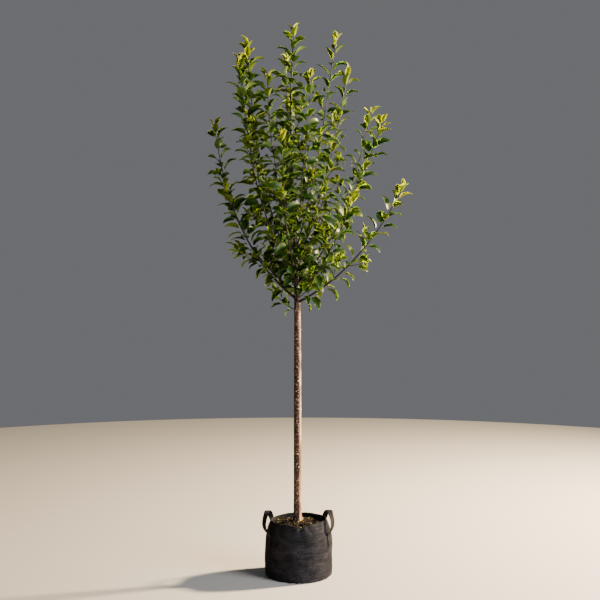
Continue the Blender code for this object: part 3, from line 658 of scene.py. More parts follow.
growth = {
    # pairs run from the foot of a shoot to its tip, but for those that end in Range; angles in radians
    "leafGap": (0.026, 0.0235), "gapRange": (0.8, 1.2), "firstLeaf": 0.040,
    "leafLength": (0.083, 0.089), "lengthRange": (0.86, 1.14), "innerSize": 0.84,
    "stalk": (0.016, 0.014), "stalkRange": (0.8, 1.2), "fromMiddle": 0.7,
    "spread": (math.radians(78), math.radians(50)), "spreadEase": 0.7, "spreadJitter": 0.15,
    "turnJitter": 0.35, "sink": 0.20, "sinkRange": (0.3, 1.4),
    "archUp": math.radians(22), "archUpRange": (0.4, 1.2),
    "archDown": (math.radians(62), math.radians(42)), "archDownRange": (0.7, 1.3),
    "foldRange": (0.22, 0.60), "roll": 0.35, "twist": 0.25, "youngArch": 0.6, "youngFold": 1.5,
    "tipLength": 0.12, "tipGap": 0.0105, "tipSize": 0.60, "tipSpread": math.radians(28),
    # where a leaf needs room: shares of its reach, and how far its tip hangs
    "leafRoom": 0.0170, "tipRoom": 0.004, "limbGap": 0.004, "roomAt": (0.35, 0.55, 0.93), "hang": 0.22,
    "boxSlack": 0.012,
    "twigFrom": 0.10, "twigStart": 0.03, "twigEnd": 0.34, "twigGap": 0.130, "twigGapRange": (0.8, 1.25),
    "twigLength": (0.17, 0.09), "twigLengthRange": (0.7, 1.2), "twigAngle": math.radians(44),
    "twigBend": 0.6, "twigLift": 0.7, "twigRadius": (0.0022, 0.0011), "twigSteps": 8, "twigClear": 0.012,
    "twigFirstLeaf": 0.03, "twigShares": (0.3, 0.8), "twigSun": 0.5,
    "sprays": 15, "sprayHeights": (1.470, 2.420), "sprayReach": (0.130, 0.110), "sprayRise": (0.110, 0.200),
    "sprayRadius": 0.0030, "spraySteps": 9, "sprayBend": (0.65, 0.3),  # it bends at those shares out and up
    # how sprays, and the leader above a height, are dressed: the first leaf's distance, the share at the
    # foot, how sunny, how wide the gaps, and no young tips
    "sprayDress": (0.030, 0.2, 0.1, 0.75, 0.0), "leaderDress": (0.0, 0.1, 0.1, 0.6, 0.0), "leaderFrom": 2.12,
    # where the leaves turn their faces, up and a little to the open side, and how much they follow
    # their stem
    "light": (0.10, -0.55, 1.0), "stemShare": 0.55,
    # lengths of young and fresh tips, times a share in full shade and in full sun, and the chance that a
    # leaf elsewhere is fresh
    "youngLength": 0.062, "youngShare": (0.4, 2.0), "freshLength": 0.14, "freshShare": (0.5, 1.5),
    "freshChance": (0.04, 0.49),
    # how sunny a limb stands, which deals its leaves more yellow-green young and fresh tones, partly young
    # growth and partly painted sunlight, and how close its leaves stand
    "sunny": {"right": 0.34, "left_upper": 0.7, "leader": 0.15, "back": 0.15, "front": 0.0, "other": 0.10},
    "close": {"leader": 0.60, "left_upper": 0.75, "left_front": 0.85, "right_inner": 1.3, "right_back": 1.3,
              "back_right": 1.4, "other": 1.0},
}


class Crown:
    # what has grown so far: the wood that leaves keep clear of, and the leaves themselves

    def __init__(self, seed):
        self.rng = random.Random(seed)
        points, radii = trunkLine(trunkShape["girth"][0][0], trunkShape["girth"][-1][0], 120)
        self.wood, self.woodRadii = asArray(points), np.array(radii)
        self.middles = np.zeros((0, 3))
        self.leaves, self.shoots = [], []

    def addWood(self, line):
        length = lengthOf(line)
        points, radii = stretch(line, 0, length, max(2, int(length / 0.012)))
        self.wood = np.vstack([self.wood, asArray(points)])
        self.woodRadii = np.append(self.woodRadii, radii)

    def woodGap(self, points):
        return (np.linalg.norm(points[:, None] - self.wood[None], axis=2) - self.woodRadii).min()

    def hasRoom(self, points, middle, room):
        points = asArray(points)
        low, high = np.array(cadBox[0]) - growth["boxSlack"], np.array(cadBox[1]) + growth["boxSlack"]
        if (points < low).any() or (points > high).any() or self.woodGap(points) < growth["limbGap"]:
            return False
        return not len(self.middles) or np.linalg.norm(self.middles - np.array(middle), axis=1).min() >= room

    def tryLeaf(self, root, stem, outward, share, tone, scale, room):
        # a leaf that sets off outward from its shoot and arches over, its face to the light
        rng = self.rng
        direction = outward.normalized()
        lookUp = (Vector(growth["light"]) + stem * growth["stemShare"]).normalized()
        across = direction.cross(lookUp).normalized()
        roll = Matrix.Rotation(rng.gauss(0, growth["roll"]), 3, direction)
        upper = (roll @ across.cross(direction)).normalized()
        length = mix(growth["leafLength"], share) * rng.uniform(*growth["lengthRange"]) * scale
        stalk = mix(growth["stalk"], share) * rng.uniform(*growth["stalkRange"])
        down = mix(growth["archDown"], share) * rng.uniform(*growth["archDownRange"])
        if tone == "young":
            down *= growth["youngArch"]
        leaf = {
            "root": root, "direction": direction, "upper": upper, "length": length, "stalk": stalk,
            "fold": rng.uniform(*growth["foldRange"]) * (growth["youngFold"] if tone == "young" else 1.0),
            "arch": (growth["archUp"] * rng.uniform(*growth["archUpRange"]), down),
            "twist": rng.gauss(0, growth["twist"]), "phase": rng.uniform(0, math.tau), "tone": tone,
        }
        reach = stalk + length
        near, middle, tip = [root + direction * reach * at for at in growth["roomAt"]]
        if self.hasRoom([near, middle, tip - upper * reach * growth["hang"]], middle, room):
            leaf["side"] = "left" if middle.x < 0 else "right"
            self.middles = np.vstack([self.middles, np.array(middle)])
            self.leaves.append(leaf)

    def dress(self, line, first, footShare, sunny=0.0, gapScale=1.0, tender=1.0):
        # leaves one above another by the golden angle, closer, smaller and steeper towards the tip
        rng = self.rng
        length = lengthOf(line)
        turn = rng.uniform(0, math.tau)
        # sunny shoots get longer yellow-green tips and more fresh leaves: partly young growth, partly
        # painted sunlight
        youngLength = growth["youngLength"] * mix(growth["youngShare"], sunny) * tender
        freshLength = growth["freshLength"] * mix(growth["freshShare"], sunny)
        distance = first
        while distance < length:
            root, stem, radius = along(line, distance)
            share = mix((footShare, 1.0), distance / length)
            toTip = length - distance
            grown = min(1.0, toTip / growth["tipLength"])
            turn += goldenAngle + rng.uniform(-growth["turnJitter"], growth["turnJitter"])
            spread = mix((growth["tipSpread"], mix(growth["spread"], share)), grown ** growth["spreadEase"])
            spread += rng.uniform(-growth["spreadJitter"], growth["spreadJitter"])
            side = sideOf(stem, turn)
            outward = stem * math.cos(spread) + side * math.sin(spread)
            outward.z -= growth["sink"] * (1 - share) ** 2 * rng.uniform(*growth["sinkRange"])
            tone = "deep"
            if toTip < youngLength:
                tone = "young"
            elif toTip < freshLength or rng.random() < mix(growth["freshChance"], sunny):
                tone = "fresh"
            size = mix((growth["tipSize"], 1.0), grown) * (1.0 if tender else growth["innerSize"])
            room = mix((growth["tipRoom"], growth["leafRoom"]), grown) * min(1.0, gapScale)
            self.tryLeaf(root + side * radius * growth["fromMiddle"], stem, outward, share, tone, size, room)
            gap = mix((growth["tipGap"], mix(growth["leafGap"], share) * gapScale), grown)
            distance += gap * rng.uniform(*growth["gapRange"])

    def sprout(self, line, footShare, first, sunny):
        # side twigs of a shoot
        rng = self.rng
        length = lengthOf(line)
        turn = rng.uniform(0, math.tau)
        distance = first + rng.uniform(0, growth["twigStart"])
        while distance < length - growth["twigEnd"]:
            turn += goldenAngle
            share = mix((footShare, 1.0), distance / length)
            reach = mix(growth["twigLength"], share) * rng.uniform(*growth["twigLengthRange"])
            root, stem, _ = along(line, distance)
            angle = growth["twigAngle"]
            outward = stem * math.cos(angle) + sideOf(stem, turn) * math.sin(angle)
            bend = root + outward * reach * growth["twigBend"]
            upward = (outward + Vector((0, 0, growth["twigLift"]))).normalized()
            tip = bend + upward * reach * (1 - growth["twigBend"])
            twig = curve(root, bend, tip, growth["twigRadius"], growth["twigSteps"])
            if self.woodGap(asArray(twig[0][3:])) > growth["twigClear"]:
                self.shoots.append(twig)
                self.addWood(twig)
                shares = mix(growth["twigShares"], share)
                self.dress(twig, growth["twigFirstLeaf"], shares, sunny * growth["twigSun"], 1.0, 0.0)
            distance += growth["twigGap"] * rng.uniform(*growth["twigGapRange"])


def sprayLine(footHeight, azimuth, share):
    outward = around(azimuth)
    foot = trunkCentre(footHeight)
    reach, rise = mix(growth["sprayReach"], share), mix(growth["sprayRise"], share)
    bendOut, bendUp = growth["sprayBend"]
    bend = foot + outward * reach * bendOut + Vector((0, 0, rise * bendUp))
    tip = foot + outward * reach + Vector((0, 0, rise))
    return curve(foot, bend, tip, (growth["sprayRadius"], limbShape["tipRadius"]), growth["spraySteps"])


def growCrown(lines):
    crown = Crown(23)
    shoots = dict(lines, leader=leaderLine())
    for line in shoots.values():
        crown.addWood(line)
    sprays = []
    for index in range(growth["sprays"]):
        share = index / (growth["sprays"] - 1)
        sprays.append(sprayLine(mix(growth["sprayHeights"], share), math.pi + goldenAngle * index, share))
        crown.addWood(sprays[-1])
    suns, closeness = growth["sunny"], growth["close"]
    for name, line in shoots.items():
        sunny = suns.get(name) or suns.get(name.split("_")[0], suns["other"])
        start = 0.0 if name == "leader" else growth["firstLeaf"]
        crown.dress(line, start, 0.0, sunny, closeness.get(name, closeness["other"]))
        crown.sprout(line, 0.0, growth["twigFrom"], sunny)
    for line in sprays:
        crown.dress(line, *growth["sprayDress"])
    crown.dress(trunkLine(growth["leaderFrom"], trunkShape["girth"][-1][0], 24), *growth["leaderDress"])
    crown.shoots += sprays
    return crown, shoots


# a bud's rise above its shoot, and its rings' places and radii, for a leaf of that length
budForm = {
    "rise": 0.0012, "ways": (0, 0.0018, 0.0045), "radii": (0.0010, 0.0013), "tip": 0.0002,
    "forLength": 0.080,
}


def growShoots(crown, shoots, bark):
    # the leafy part of each limb, its twigs, and a bud in the crook of each leaf
    skin = newSkin()
    for name, line in shoots.items():
        length = lengthOf(line)
        start = 0.0 if name == "leader" else limbShape["boughShare"] * length
        addTube(skin, *stretch(line, start, length, int((length - start) / 0.012)), 9, limbRelief)
    for line in crown.shoots:
        addTube(skin, *line, 6)
    for leaf in crown.leaves:
        way = (leaf["direction"] + leaf["upper"] * 0.8).normalized()
        foot = leaf["root"] + leaf["upper"] * budForm["rise"]
        size = leaf["length"] / budForm["forLength"]
        radii = [radius * size for radius in budForm["radii"]] + [budForm["tip"]]
        addTube(skin, [foot + way * height * size for height in budForm["ways"]], radii, 5)
    makePiece("shootsAndBuds", skin, [bark], 60)


def growLeaves(crown):
    skins = {(tone, side): newSkin() for tone in leafTones for side in ("left", "right")}
    stalks = newSkin()
    for leaf in crown.leaves:
        setLeaf(skins, stalks, leaf)
    masses = [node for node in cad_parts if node.startswith("leaves_")]
    centres = {node: sum(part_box(node), Vector()) / 2 for node in masses}
    materials = {tone: leafMaterials(tone, look) for tone, look in leafTones.items()}
    for (tone, side), skin in skins.items():
        if skin["count"]:
            piece = makePiece(f"leaves_{tone}_{side}", skin, materials[tone], 60)
            if tone == "deep":
                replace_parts(piece, *[n for n in masses if (centres[n].x < 0) == (side == "left")])
    makePiece("leafStalks", stalks, [newMaterial("leafStalkGreen", "#7c7a34", 0.5)[0]], 60)


# grow bag

bagShape = {
    "height": 0.309, "radius": 0.1855, "widestAt": 0.080, "baseDraw": 0.003,
    "rimRadius": 0.151, "rimDraw": 3.8,
    "corner": 0.014, "felt": 0.0035, "lipStart": 0.002,
    "columns": 168, "wallRings": 66, "innerRings": 14, "cornerRings": 15, "innerCornerRings": 5,
    "foldDepth": 0.021, "foldAt": math.radians(-86), "foldSpread": math.radians(10), "foldFrom": 0.215,
    "foldPower": 1.35, "rimTilt": 0.004, "rimTiltAt": math.radians(35), "rimWave": 0.0012,
    # across the fold in spreads, depth and width of the creases that fan from it, and how far they reach
    "creases": ((0.0, -1.0, 0.22), (0.62, 0.55, 0.20), (-0.60, 0.75, 0.24), (1.25, -0.55, 0.2)),
    "crease": 0.0045, "creaseLength": 0.085, "creaseFade": 1.6, "creaseFan": 1.4,
    "hem": 0.024, "hemStep": 0.0011, "hemEdge": 0.0015, "stitchRow": 0.003, "stitchSink": (0.0007, 0.0012),
    "dent": 0.0032, "dentSize": 0.11, "smallDent": (0.4, 2.7), "cheek": 0.0030, "cheeks": 4,
    "needling": 0.00045, "needled": (14, 150), "gather": 0.0011, "gathers": 19, "gatherFrom": 0.15,
    "seamAt": 0.0085, "seamRise": 0.0020, "seamHeight": 0.0030, "seamRibs": (190, 0.18),
    "stitch": 0.0042, "stitchGap": 0.0022, "thread": 0.00055,
}


def bagRadius(height):
    above = max(0.0, height - bagShape["widestAt"]) / (bagShape["height"] - bagShape["widestAt"])
    below = max(0.0, bagShape["widestAt"] - height) / bagShape["widestAt"]
    draw = (bagShape["radius"] - bagShape["rimRadius"]) * above ** bagShape["rimDraw"]
    return bagShape["radius"] - draw - bagShape["baseDraw"] * below ** 2


def foldTurn(turn):
    # how many spreads of the fold in the rim an angle lies from its middle
    return math.remainder(turn - bagShape["foldAt"], math.tau) / bagShape["foldSpread"]


def rimDrop(turn, height):
    # the folded front hangs in a V, and the rim stands a little higher on the right and at the back
    climb = max(0.0, height - bagShape["foldFrom"]) / (bagShape["height"] - bagShape["foldFrom"])
    fold = bagShape["foldDepth"] * math.exp(-abs(foldTurn(turn)) ** bagShape["foldPower"])
    tilt = bagShape["rimTilt"] * math.cos(turn - bagShape["rimTiltAt"])
    wave = bagShape["rimWave"] * noise.noise(around(turn, 4, 7))
    return climb * (fold - tilt + wave)


def clothRelief(turn, height):
    # how far the felt stands out: soft dents, gathers under the rim, creases that fan from the fold,
    # and flatter cheeks between the fold, the handles and the back
    bag = bagShape
    place = around(turn) * bag["radius"] + Vector((0, 0, height))
    rise = bag["dent"] * noise.noise(place / bag["dentSize"] + Vector((3, 1, 8)))
    share, often = bag["smallDent"]
    rise += share * bag["dent"] * noise.noise(place / bag["dentSize"] * often)
    rise += bag["cheek"] * math.cos(bag["cheeks"] * (turn - bag["foldAt"]))
    level, upright = bag["needled"]
    rise += bag["needling"] * noise.noise(Vector((place.x * level, place.y * level, place.z * upright)))
    climb = min(1.0, max(0.0, (height - bag["gatherFrom"]) / (bag["height"] - bag["gatherFrom"])))
    rise += bag["gather"] * climb ** 2 * math.cos(turn * bag["gathers"] + 2.5 * noise.noise(place * 9))
    down = (bag["height"] - height) / bag["creaseLength"]
    if down < bag["creaseFade"]:
        fading = math.exp(-down * down) * max(0.0, 1 - down / bag["creaseFade"])
        for sideways, depth, width in bag["creases"]:
            line = (foldTurn(turn) - sideways * (1 + bag["creaseFan"] * down)) / (width * (1 + down))
            rise += bag["crease"] * depth * fading * math.exp(-line * line)
    aboveHem = height - (bag["height"] - bag["hem"])
    rise += bag["hemStep"] * min(1.0, max(0.0, aboveHem) / bag["hemEdge"])
    sink, width = bag["stitchSink"]
    return rise - sink * math.exp(-((aboveHem - bag["stitchRow"]) / width) ** 2)


def bagPoint(turn, height, inset=0.0):
    # a point on the wall; the fold pulls down what lies above it
    radius = bagRadius(height) + clothRelief(turn, height) - inset
    return around(turn, radius, height - rimDrop(turn, height))


def cornerPoint(turn, share, inset=0.0):
    # a point on the rounding between wall and base, with the rolled seam that joins them
    reach = bagShape["corner"] - inset
    centre = bagRadius(bagShape["corner"]) - bagShape["corner"]
    angle = math.pi / 2 * (share - 1)
    radius = centre + reach * math.cos(angle) + clothRelief(turn, bagShape["corner"]) * share
    height = bagShape["corner"] + reach * math.sin(angle)
    if not inset:
        ribs, much = bagShape["seamRibs"]
        away = (height - bagShape["seamAt"]) / bagShape["seamHeight"]
        radius += bagShape["seamRise"] * math.exp(-away ** 2) * (1 + much * math.sin(turn * ribs))
    return around(turn, radius, height)


def bagRings():
    # functions of the angle, one for each ring, from the middle of the underside round to the inner floor
    corner, felt, lip = bagShape["corner"], bagShape["felt"], bagShape["height"] - bagShape["lipStart"]
    flat = bagRadius(corner) - corner
    rings = [lambda turn, r=flat * share: around(turn, r) for share in (0.03, 0.5, 0.94)]
    for step in range(bagShape["cornerRings"]):
        rings.append(lambda turn, s=step / (bagShape["cornerRings"] - 1): cornerPoint(turn, s))
    for step in range(1, bagShape["wallRings"] + 1):
        rings.append(lambda turn, h=mix((corner, lip), step / bagShape["wallRings"]): bagPoint(turn, h))
    for angle in (30, 60, 90, 120, 150):  # the rounded lip
        reach = felt / 2 + bagShape["hemStep"]
        out, up = reach * (1 - math.cos(math.radians(angle))), reach * math.sin(math.radians(angle))
        rings.append(lambda turn, o=out, u=up: bagPoint(turn, lip, o) + Vector((0, 0, u)))
    inset = felt + 2 * bagShape["hemStep"]
    for step in range(bagShape["innerRings"]):
        height = mix((lip, corner), step / (bagShape["innerRings"] - 1))
        rings.append(lambda turn, h=height: bagPoint(turn, h, inset))
    count = bagShape["innerCornerRings"]
    for step in range(count):
        rings.append(lambda turn, s=1 - (step + 1) / count: cornerPoint(turn, s, felt))
    rings.append(lambda turn: around(turn, 0.005, felt))
    return rings


def addRings(skin, rings, columns):
    # a closed skin through rings of points, each a function of the angle
    turns = [math.tau * step / columns for step in range(columns)]
    addRound(skin, [tuple(ring(turn)) for ring in rings for turn in turns], len(rings), columns)


def addStitch(skin, start, end, outward, thread):
    # one stitch, sunk at both ends and proud between them
    lifts = ((0, -0.6), (0.2, 0.6), (0.8, 0.6), (1, -0.6))
    points = [mix((start, end), share) + outward * thread * lift for share, lift in lifts]
    addTube(skin, points, [thread * 0.7, thread, thread, thread * 0.7], 6)


def needledFelt():
    # Charcoal felt, needle-punched from dyed polypropylene fibre: matt and soft, with a fine fuzz that
    # greys it where the light grazes, rows left by the needles, and pale dust rubbed into it.
    fuzz = {"Sheen Weight": 0.03, "Sheen Roughness": 0.6, "Sheen Tint": linear("#b8aca6")}
    material, tree, shader = newMaterial("needledFelt", "#26272b", 0.96, 1.49, 0.03, **fuzz)
    # clumps of fibre about 2 mm wide, drawn three times as coarse as life so that they show, and rows
    # about 6 mm apart, which run round the bag
    dust, clumps, rows = [
        addNode(tree, "TexNoise", {},
                millimetres(tree, size, squash) | {"Detail": detail, "Roughness": rough})
        for size, squash, detail, rough in ((70, (1, 1, 1.6), 6.0, 0.6), (6, (1, 1, 1), 4.0, 0.5),
                                            (6, (0.07, 0.07, 1), 3.0, 0.5))]
    stops = [(0.36, "#1d1e22"), (0.53, "#27282d"), (0.72, "#363538")]
    cloth = addNode(tree, "ValToRGB", {"stops": stops}, {"Fac": dust})
    for pattern, share, stops, depth in ((clumps, 0.7, [(0.36, "#8c8c8c"), (0.62, "#ffffff")], 0.8),
                                         (rows, 0.6, [(0.38, "#a2a0a2"), (0.62, "#ffffff")], 0.5)):
        shade = addNode(tree, "ValToRGB", {"stops": stops}, {"Fac": pattern})
        cloth = addNode(tree, "Mix", {"data_type": "RGBA", "blend_type": "MULTIPLY"},
                        {"Factor": share, 6: cloth, 7: shade}, 2)
        bumped(tree, shader, pattern, depth)
    tree.links.new(cloth, shader.inputs["Base Color"])
    return material


def wovenWebbing():
    # Black polypropylene webbing, woven in a heavy twill: dull, with a faint plastic gleam on its ribs.
    material, tree, shader = newMaterial("wovenWebbing", "#0e0e10", 0.78, 1.49, 0.10)
    grained(tree, shader, 3, (1, 1, 1), 3.0, [(0.35, "#0b0b0d"), (0.65, "#171618")], 0.3)
    return material


def sewingThread():
    # Bonded polyester thread: charcoal like the felt, and a little glossier.
    return newMaterial("sewingThread", "#262628", 0.7, 1.53, 0.1)[0]


def sewBag(felt, thread):
    skin = newSkin()
    addRings(skin, bagRings(), bagShape["columns"])
    piece = makePiece("feltGrowBag", skin, [felt], 60)
    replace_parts(piece, "grow_bag")
    seam = newSkin()
    step = bagShape["stitch"] + bagShape["stitchGap"]
    height = bagShape["height"] - bagShape["hem"] + bagShape["stitchRow"]
    count = int(math.tau * bagRadius(height) / step)
    for index in range(count):
        turn = math.tau * index / count
        following = turn + math.tau / count * bagShape["stitch"] / step
        ends = bagPoint(turn, height), bagPoint(following, height)
        addStitch(seam, *ends, around(turn), bagShape["thread"])
    makePiece("hemStitches", seam, [thread], 60)


# handles

strapShape = {
    "width": 0.030, "thickness": 0.0028, "sewnFrom": 0.172, "sewnTo": 0.236, "top": 0.352, "gap": 0.0004,
    "sewnShare": 0.16, "archPower": 0.8, "halfSpread": math.radians(30),
    "steps": 230, "across": 9, "softened": 14, "ribs": 92, "ribRise": 0.00022, "edgeDraw": 0.62,
    "boxStitch": (0.0105, 0.036), "boxFrom": 0.004, "stitchStep": 0.0055, "stitchShare": (0.12, 0.88),
    # azimuth of its middle, how far its two arms spring out from the wall, how far its top leans in
    "sides": {"Left": (178, (0.001, 0.036), 0.006), "Right": (7, (0.027, 0.001), 0.010)},
}


def strapFrame(way, middle, springs, topLean):
    # centre, width direction and outward face of the strap: up the wall, over and down again
    share = strapShape["sewnShare"]
    arch = min(1.0, max(0.0, (way - share) / (1 - 2 * share)))
    turn = math.pi * arch
    lift = max(0.0, math.sin(turn)) ** strapShape["archPower"]
    azimuth = math.radians(middle) - strapShape["halfSpread"] * math.cos(turn)
    sewn = min(way, 1 - way) / share
    if sewn < 1:
        height = mix((strapShape["sewnFrom"], strapShape["sewnTo"]), sewn)
    else:
        height = mix((strapShape["sewnTo"], strapShape["top"]), lift)
    wall = bagPoint(azimuth, min(height, strapShape["sewnTo"])).xy.length + strapShape["gap"]
    spring = mix(springs, (1 - math.cos(turn)) / 2) * 4 * lift * (1 - lift)
    radius = wall + strapShape["thickness"] / 2 + spring - topLean * lift
    outward = around(azimuth)
    across = Vector((math.sin(azimuth), -math.cos(azimuth), 0))
    inPlane = across * math.cos(turn) + Vector((0, 0, 1)) * math.sin(turn)
    twist = math.pi / 2 * lift ** 2  # the arms turn their faces to the front and back
    width = (inPlane * math.cos(twist) - outward * math.sin(twist)).normalized()
    return outward * radius + Vector((0, 0, height)), width


def strapFrames(place):
    # frames at even steps, smoothed so that the strap leaves the wall in a soft bend
    steps = strapShape["steps"]
    centres, widths = map(asArray, zip(*[strapFrame(step / steps, *place) for step in range(steps + 1)]))
    for _ in range(strapShape["softened"]):
        for line in (centres, widths):
            line[1:-1] = (line[:-2] + 2 * line[1:-1] + line[2:]) / 4
    ways = np.gradient(centres, axis=0)
    ways /= np.linalg.norm(ways, axis=1)[:, None]
    widths -= ways * (widths * ways).sum(axis=1)[:, None]
    widths /= np.linalg.norm(widths, axis=1)[:, None]
    outsides = np.cross(widths, ways)
    if (outsides[0] * centres[0]).sum() < 0:
        outsides = -outsides
    return centres, widths, outsides


def sewHandle(side, frames, webbing):
    across = np.linspace(-1, 1, strapShape["across"])
    edge = 1 - strapShape["edgeDraw"] * np.abs(across) ** 8
    rings = []
    for index, (centre, width, outside) in enumerate(zip(*frames)):
        rib = strapShape["ribRise"] * math.cos(math.tau * index * strapShape["ribs"] / strapShape["steps"])
        for sign in (1, -1):  # the outer face, and the inner one back again
            order = across[::sign] * strapShape["width"] / 2
            thick = (strapShape["thickness"] / 2 + rib) * edge[::sign] * sign
            rings.append(centre + np.outer(order, width) + np.outer(thick, outside))
    skin = newSkin()
    addRound(skin, np.vstack(rings), strapShape["steps"] + 1, 2 * strapShape["across"])
    piece = makePiece("webbingHandle" + side, skin, [webbing], 50)
    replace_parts(piece, "handle_" + side.lower())


def addBoxStitches(skin, centres, widths, outsides):
    # a sewn box with a cross in it, at both feet of a strap
    halfWide, long = strapShape["boxStitch"]
    lengths = np.concatenate([[0], np.cumsum(np.linalg.norm(np.diff(centres, axis=0), axis=1))])

    def place(fromEnd, aside, atStart):
        distance = fromEnd + strapShape["boxFrom"]
        index = int(np.searchsorted(lengths, distance if atStart else lengths[-1] - distance))
        lift = outsides[index] * (strapShape["thickness"] / 2 + 0.0003)
        return Vector(centres[index] + widths[index] * aside + lift), Vector(outsides[index])

    corners = [(0, -halfWide), (0, halfWide), (long, halfWide), (long, -halfWide)]
    runs = list(zip(corners, corners[1:] + corners[:1])) + list(zip(corners[:2], corners[2:]))
    for atStart in (True, False):
        for start, end in runs:
            count = int(math.dist(start, end) / strapShape["stitchStep"])
            for index in range(count):
                ends = []
                for along in strapShape["stitchShare"]:
                    share = (index + along) / count
                    spot = [mix(pair, share) for pair in zip(start, end)]
                    ends.append(place(*spot, atStart))
                addStitch(skin, ends[0][0], ends[1][0], ends[0][1], bagShape["thread"])


def sewHandles(webbing, thread):
    stitches = newSkin()
    for side, place in strapShape["sides"].items():
        frames = strapFrames(place)
        sewHandle(side, frames, webbing)
        addBoxStitches(stitches, *frames)
    makePiece("handleStitches", stitches, [thread], 60)


# compost

soilShape = {
    "top": 0.2985, "fall": 0.016, "fallPower": 1.5, "flat": 0.050, "clearance": 0.0009,
    "rings": 46, "columns": 150,
    "sideHeights": (0.22, 0.12, 0.05), "footRadius": 0.14, "footHeight": 0.006,
    "lump": 0.0032, "lumpSize": 0.022, "crumb": 0.0013, "crumbSize": 0.022 / 4.3,
    "lowSide": 0.006, "lowSideAt": math.radians(8), "mound": 0.004, "moundRadius": 0.045,
    "trunkRoom": 0.030, "wallShare": 0.965,
}


def soilHeight(x, y):
    soil, radius, turn = soilShape, math.hypot(x, y), math.atan2(y, x)
    rim = bagRadius(soil["top"] - soil["fall"]) - bagShape["felt"]
    outward = min(1.0, max(0.0, (radius - soil["flat"]) / (rim - soil["flat"])))
    height = soil["top"] - soil["fall"] * outward ** soil["fallPower"]
    height -= rimDrop(turn, height) * min(1.0, radius / (rim * 0.8)) ** 2
    height -= soil["lowSide"] * outward * (1 + math.cos(turn - soil["lowSideAt"])) / 2
    height += soil["mound"] * math.exp(-((radius / soil["moundRadius"]) ** 2))
    height += soil["lump"] * noise.noise(Vector((x, y, 0)) / soil["lumpSize"])
    return height + soil["crumb"] * noise.noise(Vector((x, y, 0)) / soil["crumbSize"])


def soilRim(turn, height):
    return bagPoint(turn, height, bagShape["felt"] + 2 * bagShape["hemStep"] + soilShape["clearance"])


def soilTop(turn, share):
    # the place on the compost at that share of the way from its middle to the felt
    edge = soilRim(turn, soilShape["top"] - soilShape["fall"])
    return edge.x * share, edge.y * share


def heapCompost(peat):
    # the heaped top, the side against the felt, and a flat underside
    def topPoint(turn, share):
        x, y = soilTop(turn, share)
        return Vector((x, y, soilHeight(x, y)))

    count = soilShape["rings"]
    rings = [lambda turn, s=(step + 1) / count: topPoint(turn, s) for step in range(count)]
    rings += [lambda turn, h=height: soilRim(turn, h) for height in soilShape["sideHeights"]]
    rings.append(lambda turn: around(turn, soilShape["footRadius"], soilShape["footHeight"]))
    skin = newSkin()
    addRings(skin, rings[::-1], soilShape["columns"])
    piece = makePiece("compostHeap", skin, [peat], 180)
    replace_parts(piece, "compost")


chipShape = {
    "chips": 900, "crumbs": 1400, "chipLength": (0.005, 0.015), "crumbLength": (0.0018, 0.0045),
    "width": (0.3, 0.65), "height": (0.14, 0.35), "tilt": (0.35, 0.3), "sunk": 0.25,  # tilt about X and Y
    "corner": (0.62, 1.2), "cornerShift": 0.1, "shares": (0.93, 0.04, 0.03),
    "faces": [(0, 1, 3, 2), (4, 6, 7, 5), (0, 4, 5, 1), (2, 3, 7, 6), (0, 2, 6, 4), (1, 5, 7, 3)],
}


def chipPoints(size, rng):
    # a splinter of bark: a flat block with every corner pushed about
    corners = []
    for x, y, z in [(x, y, z) for x in (-1, 1) for y in (-1, 1) for z in (-1, 1)]:
        corner = Vector((x * size[0], y * size[1], z * size[2])) / 2 * rng.uniform(*chipShape["corner"])
        corners.append(corner + Vector((rng.gauss(0, chipShape["cornerShift"]) * size[0], 0, 0)))
    return corners


def soilPlace(rng):
    # a place on the compost, clear of the trunk and the felt
    while True:
        turn, share = rng.uniform(0, math.tau), math.sqrt(rng.random())
        x, y = soilTop(turn, share)
        x, y = x * soilShape["wallShare"], y * soilShape["wallShare"]
        if math.hypot(x - trunkShape["aside"], y) > soilShape["trunkRoom"]:
            return x, y


def scatterChips(skins):
    # bark chips and crumbs, dealt out by tone
    chip, rng = chipShape, random.Random(41)
    for index in range(chip["chips"] + chip["crumbs"]):
        x, y = soilPlace(rng)
        length = rng.uniform(*chip["chipLength" if index < chip["chips"] else "crumbLength"])
        size = (length, length * rng.uniform(*chip["width"]), length * rng.uniform(*chip["height"]))
        turned = Matrix.Rotation(rng.uniform(0, math.tau), 3, "Z")
        for tilt, axis in zip(chip["tilt"], "XY"):
            turned = turned @ Matrix.Rotation(rng.gauss(0, tilt), 3, axis)
        centre = Vector((x, y, soilHeight(x, y) + size[2] * chip["sunk"]))
        points = [tuple(centre + turned @ corner) for corner in chipPoints(size, rng)]
        tone = rng.choices(list(skins), chip["shares"])[0]
        addPatch(skins[tone], points, chip["faces"])


# small green things on the compost

mossShape = {
    "sprouts": 30, "blades": (3, 7), "length": (0.006, 0.011), "scatter": 0.004, "lift": 0.0005,
    "rise": (0.3, 1.3),
    # half a blade's outline, as how far along it and how wide, in half widths of its length
    "outline": [(0.34, 0.70), (0.62, 1.0), (0.86, 0.62)], "halfWidth": 0.32, "cup": 0.08, "middle": 0.60,
}


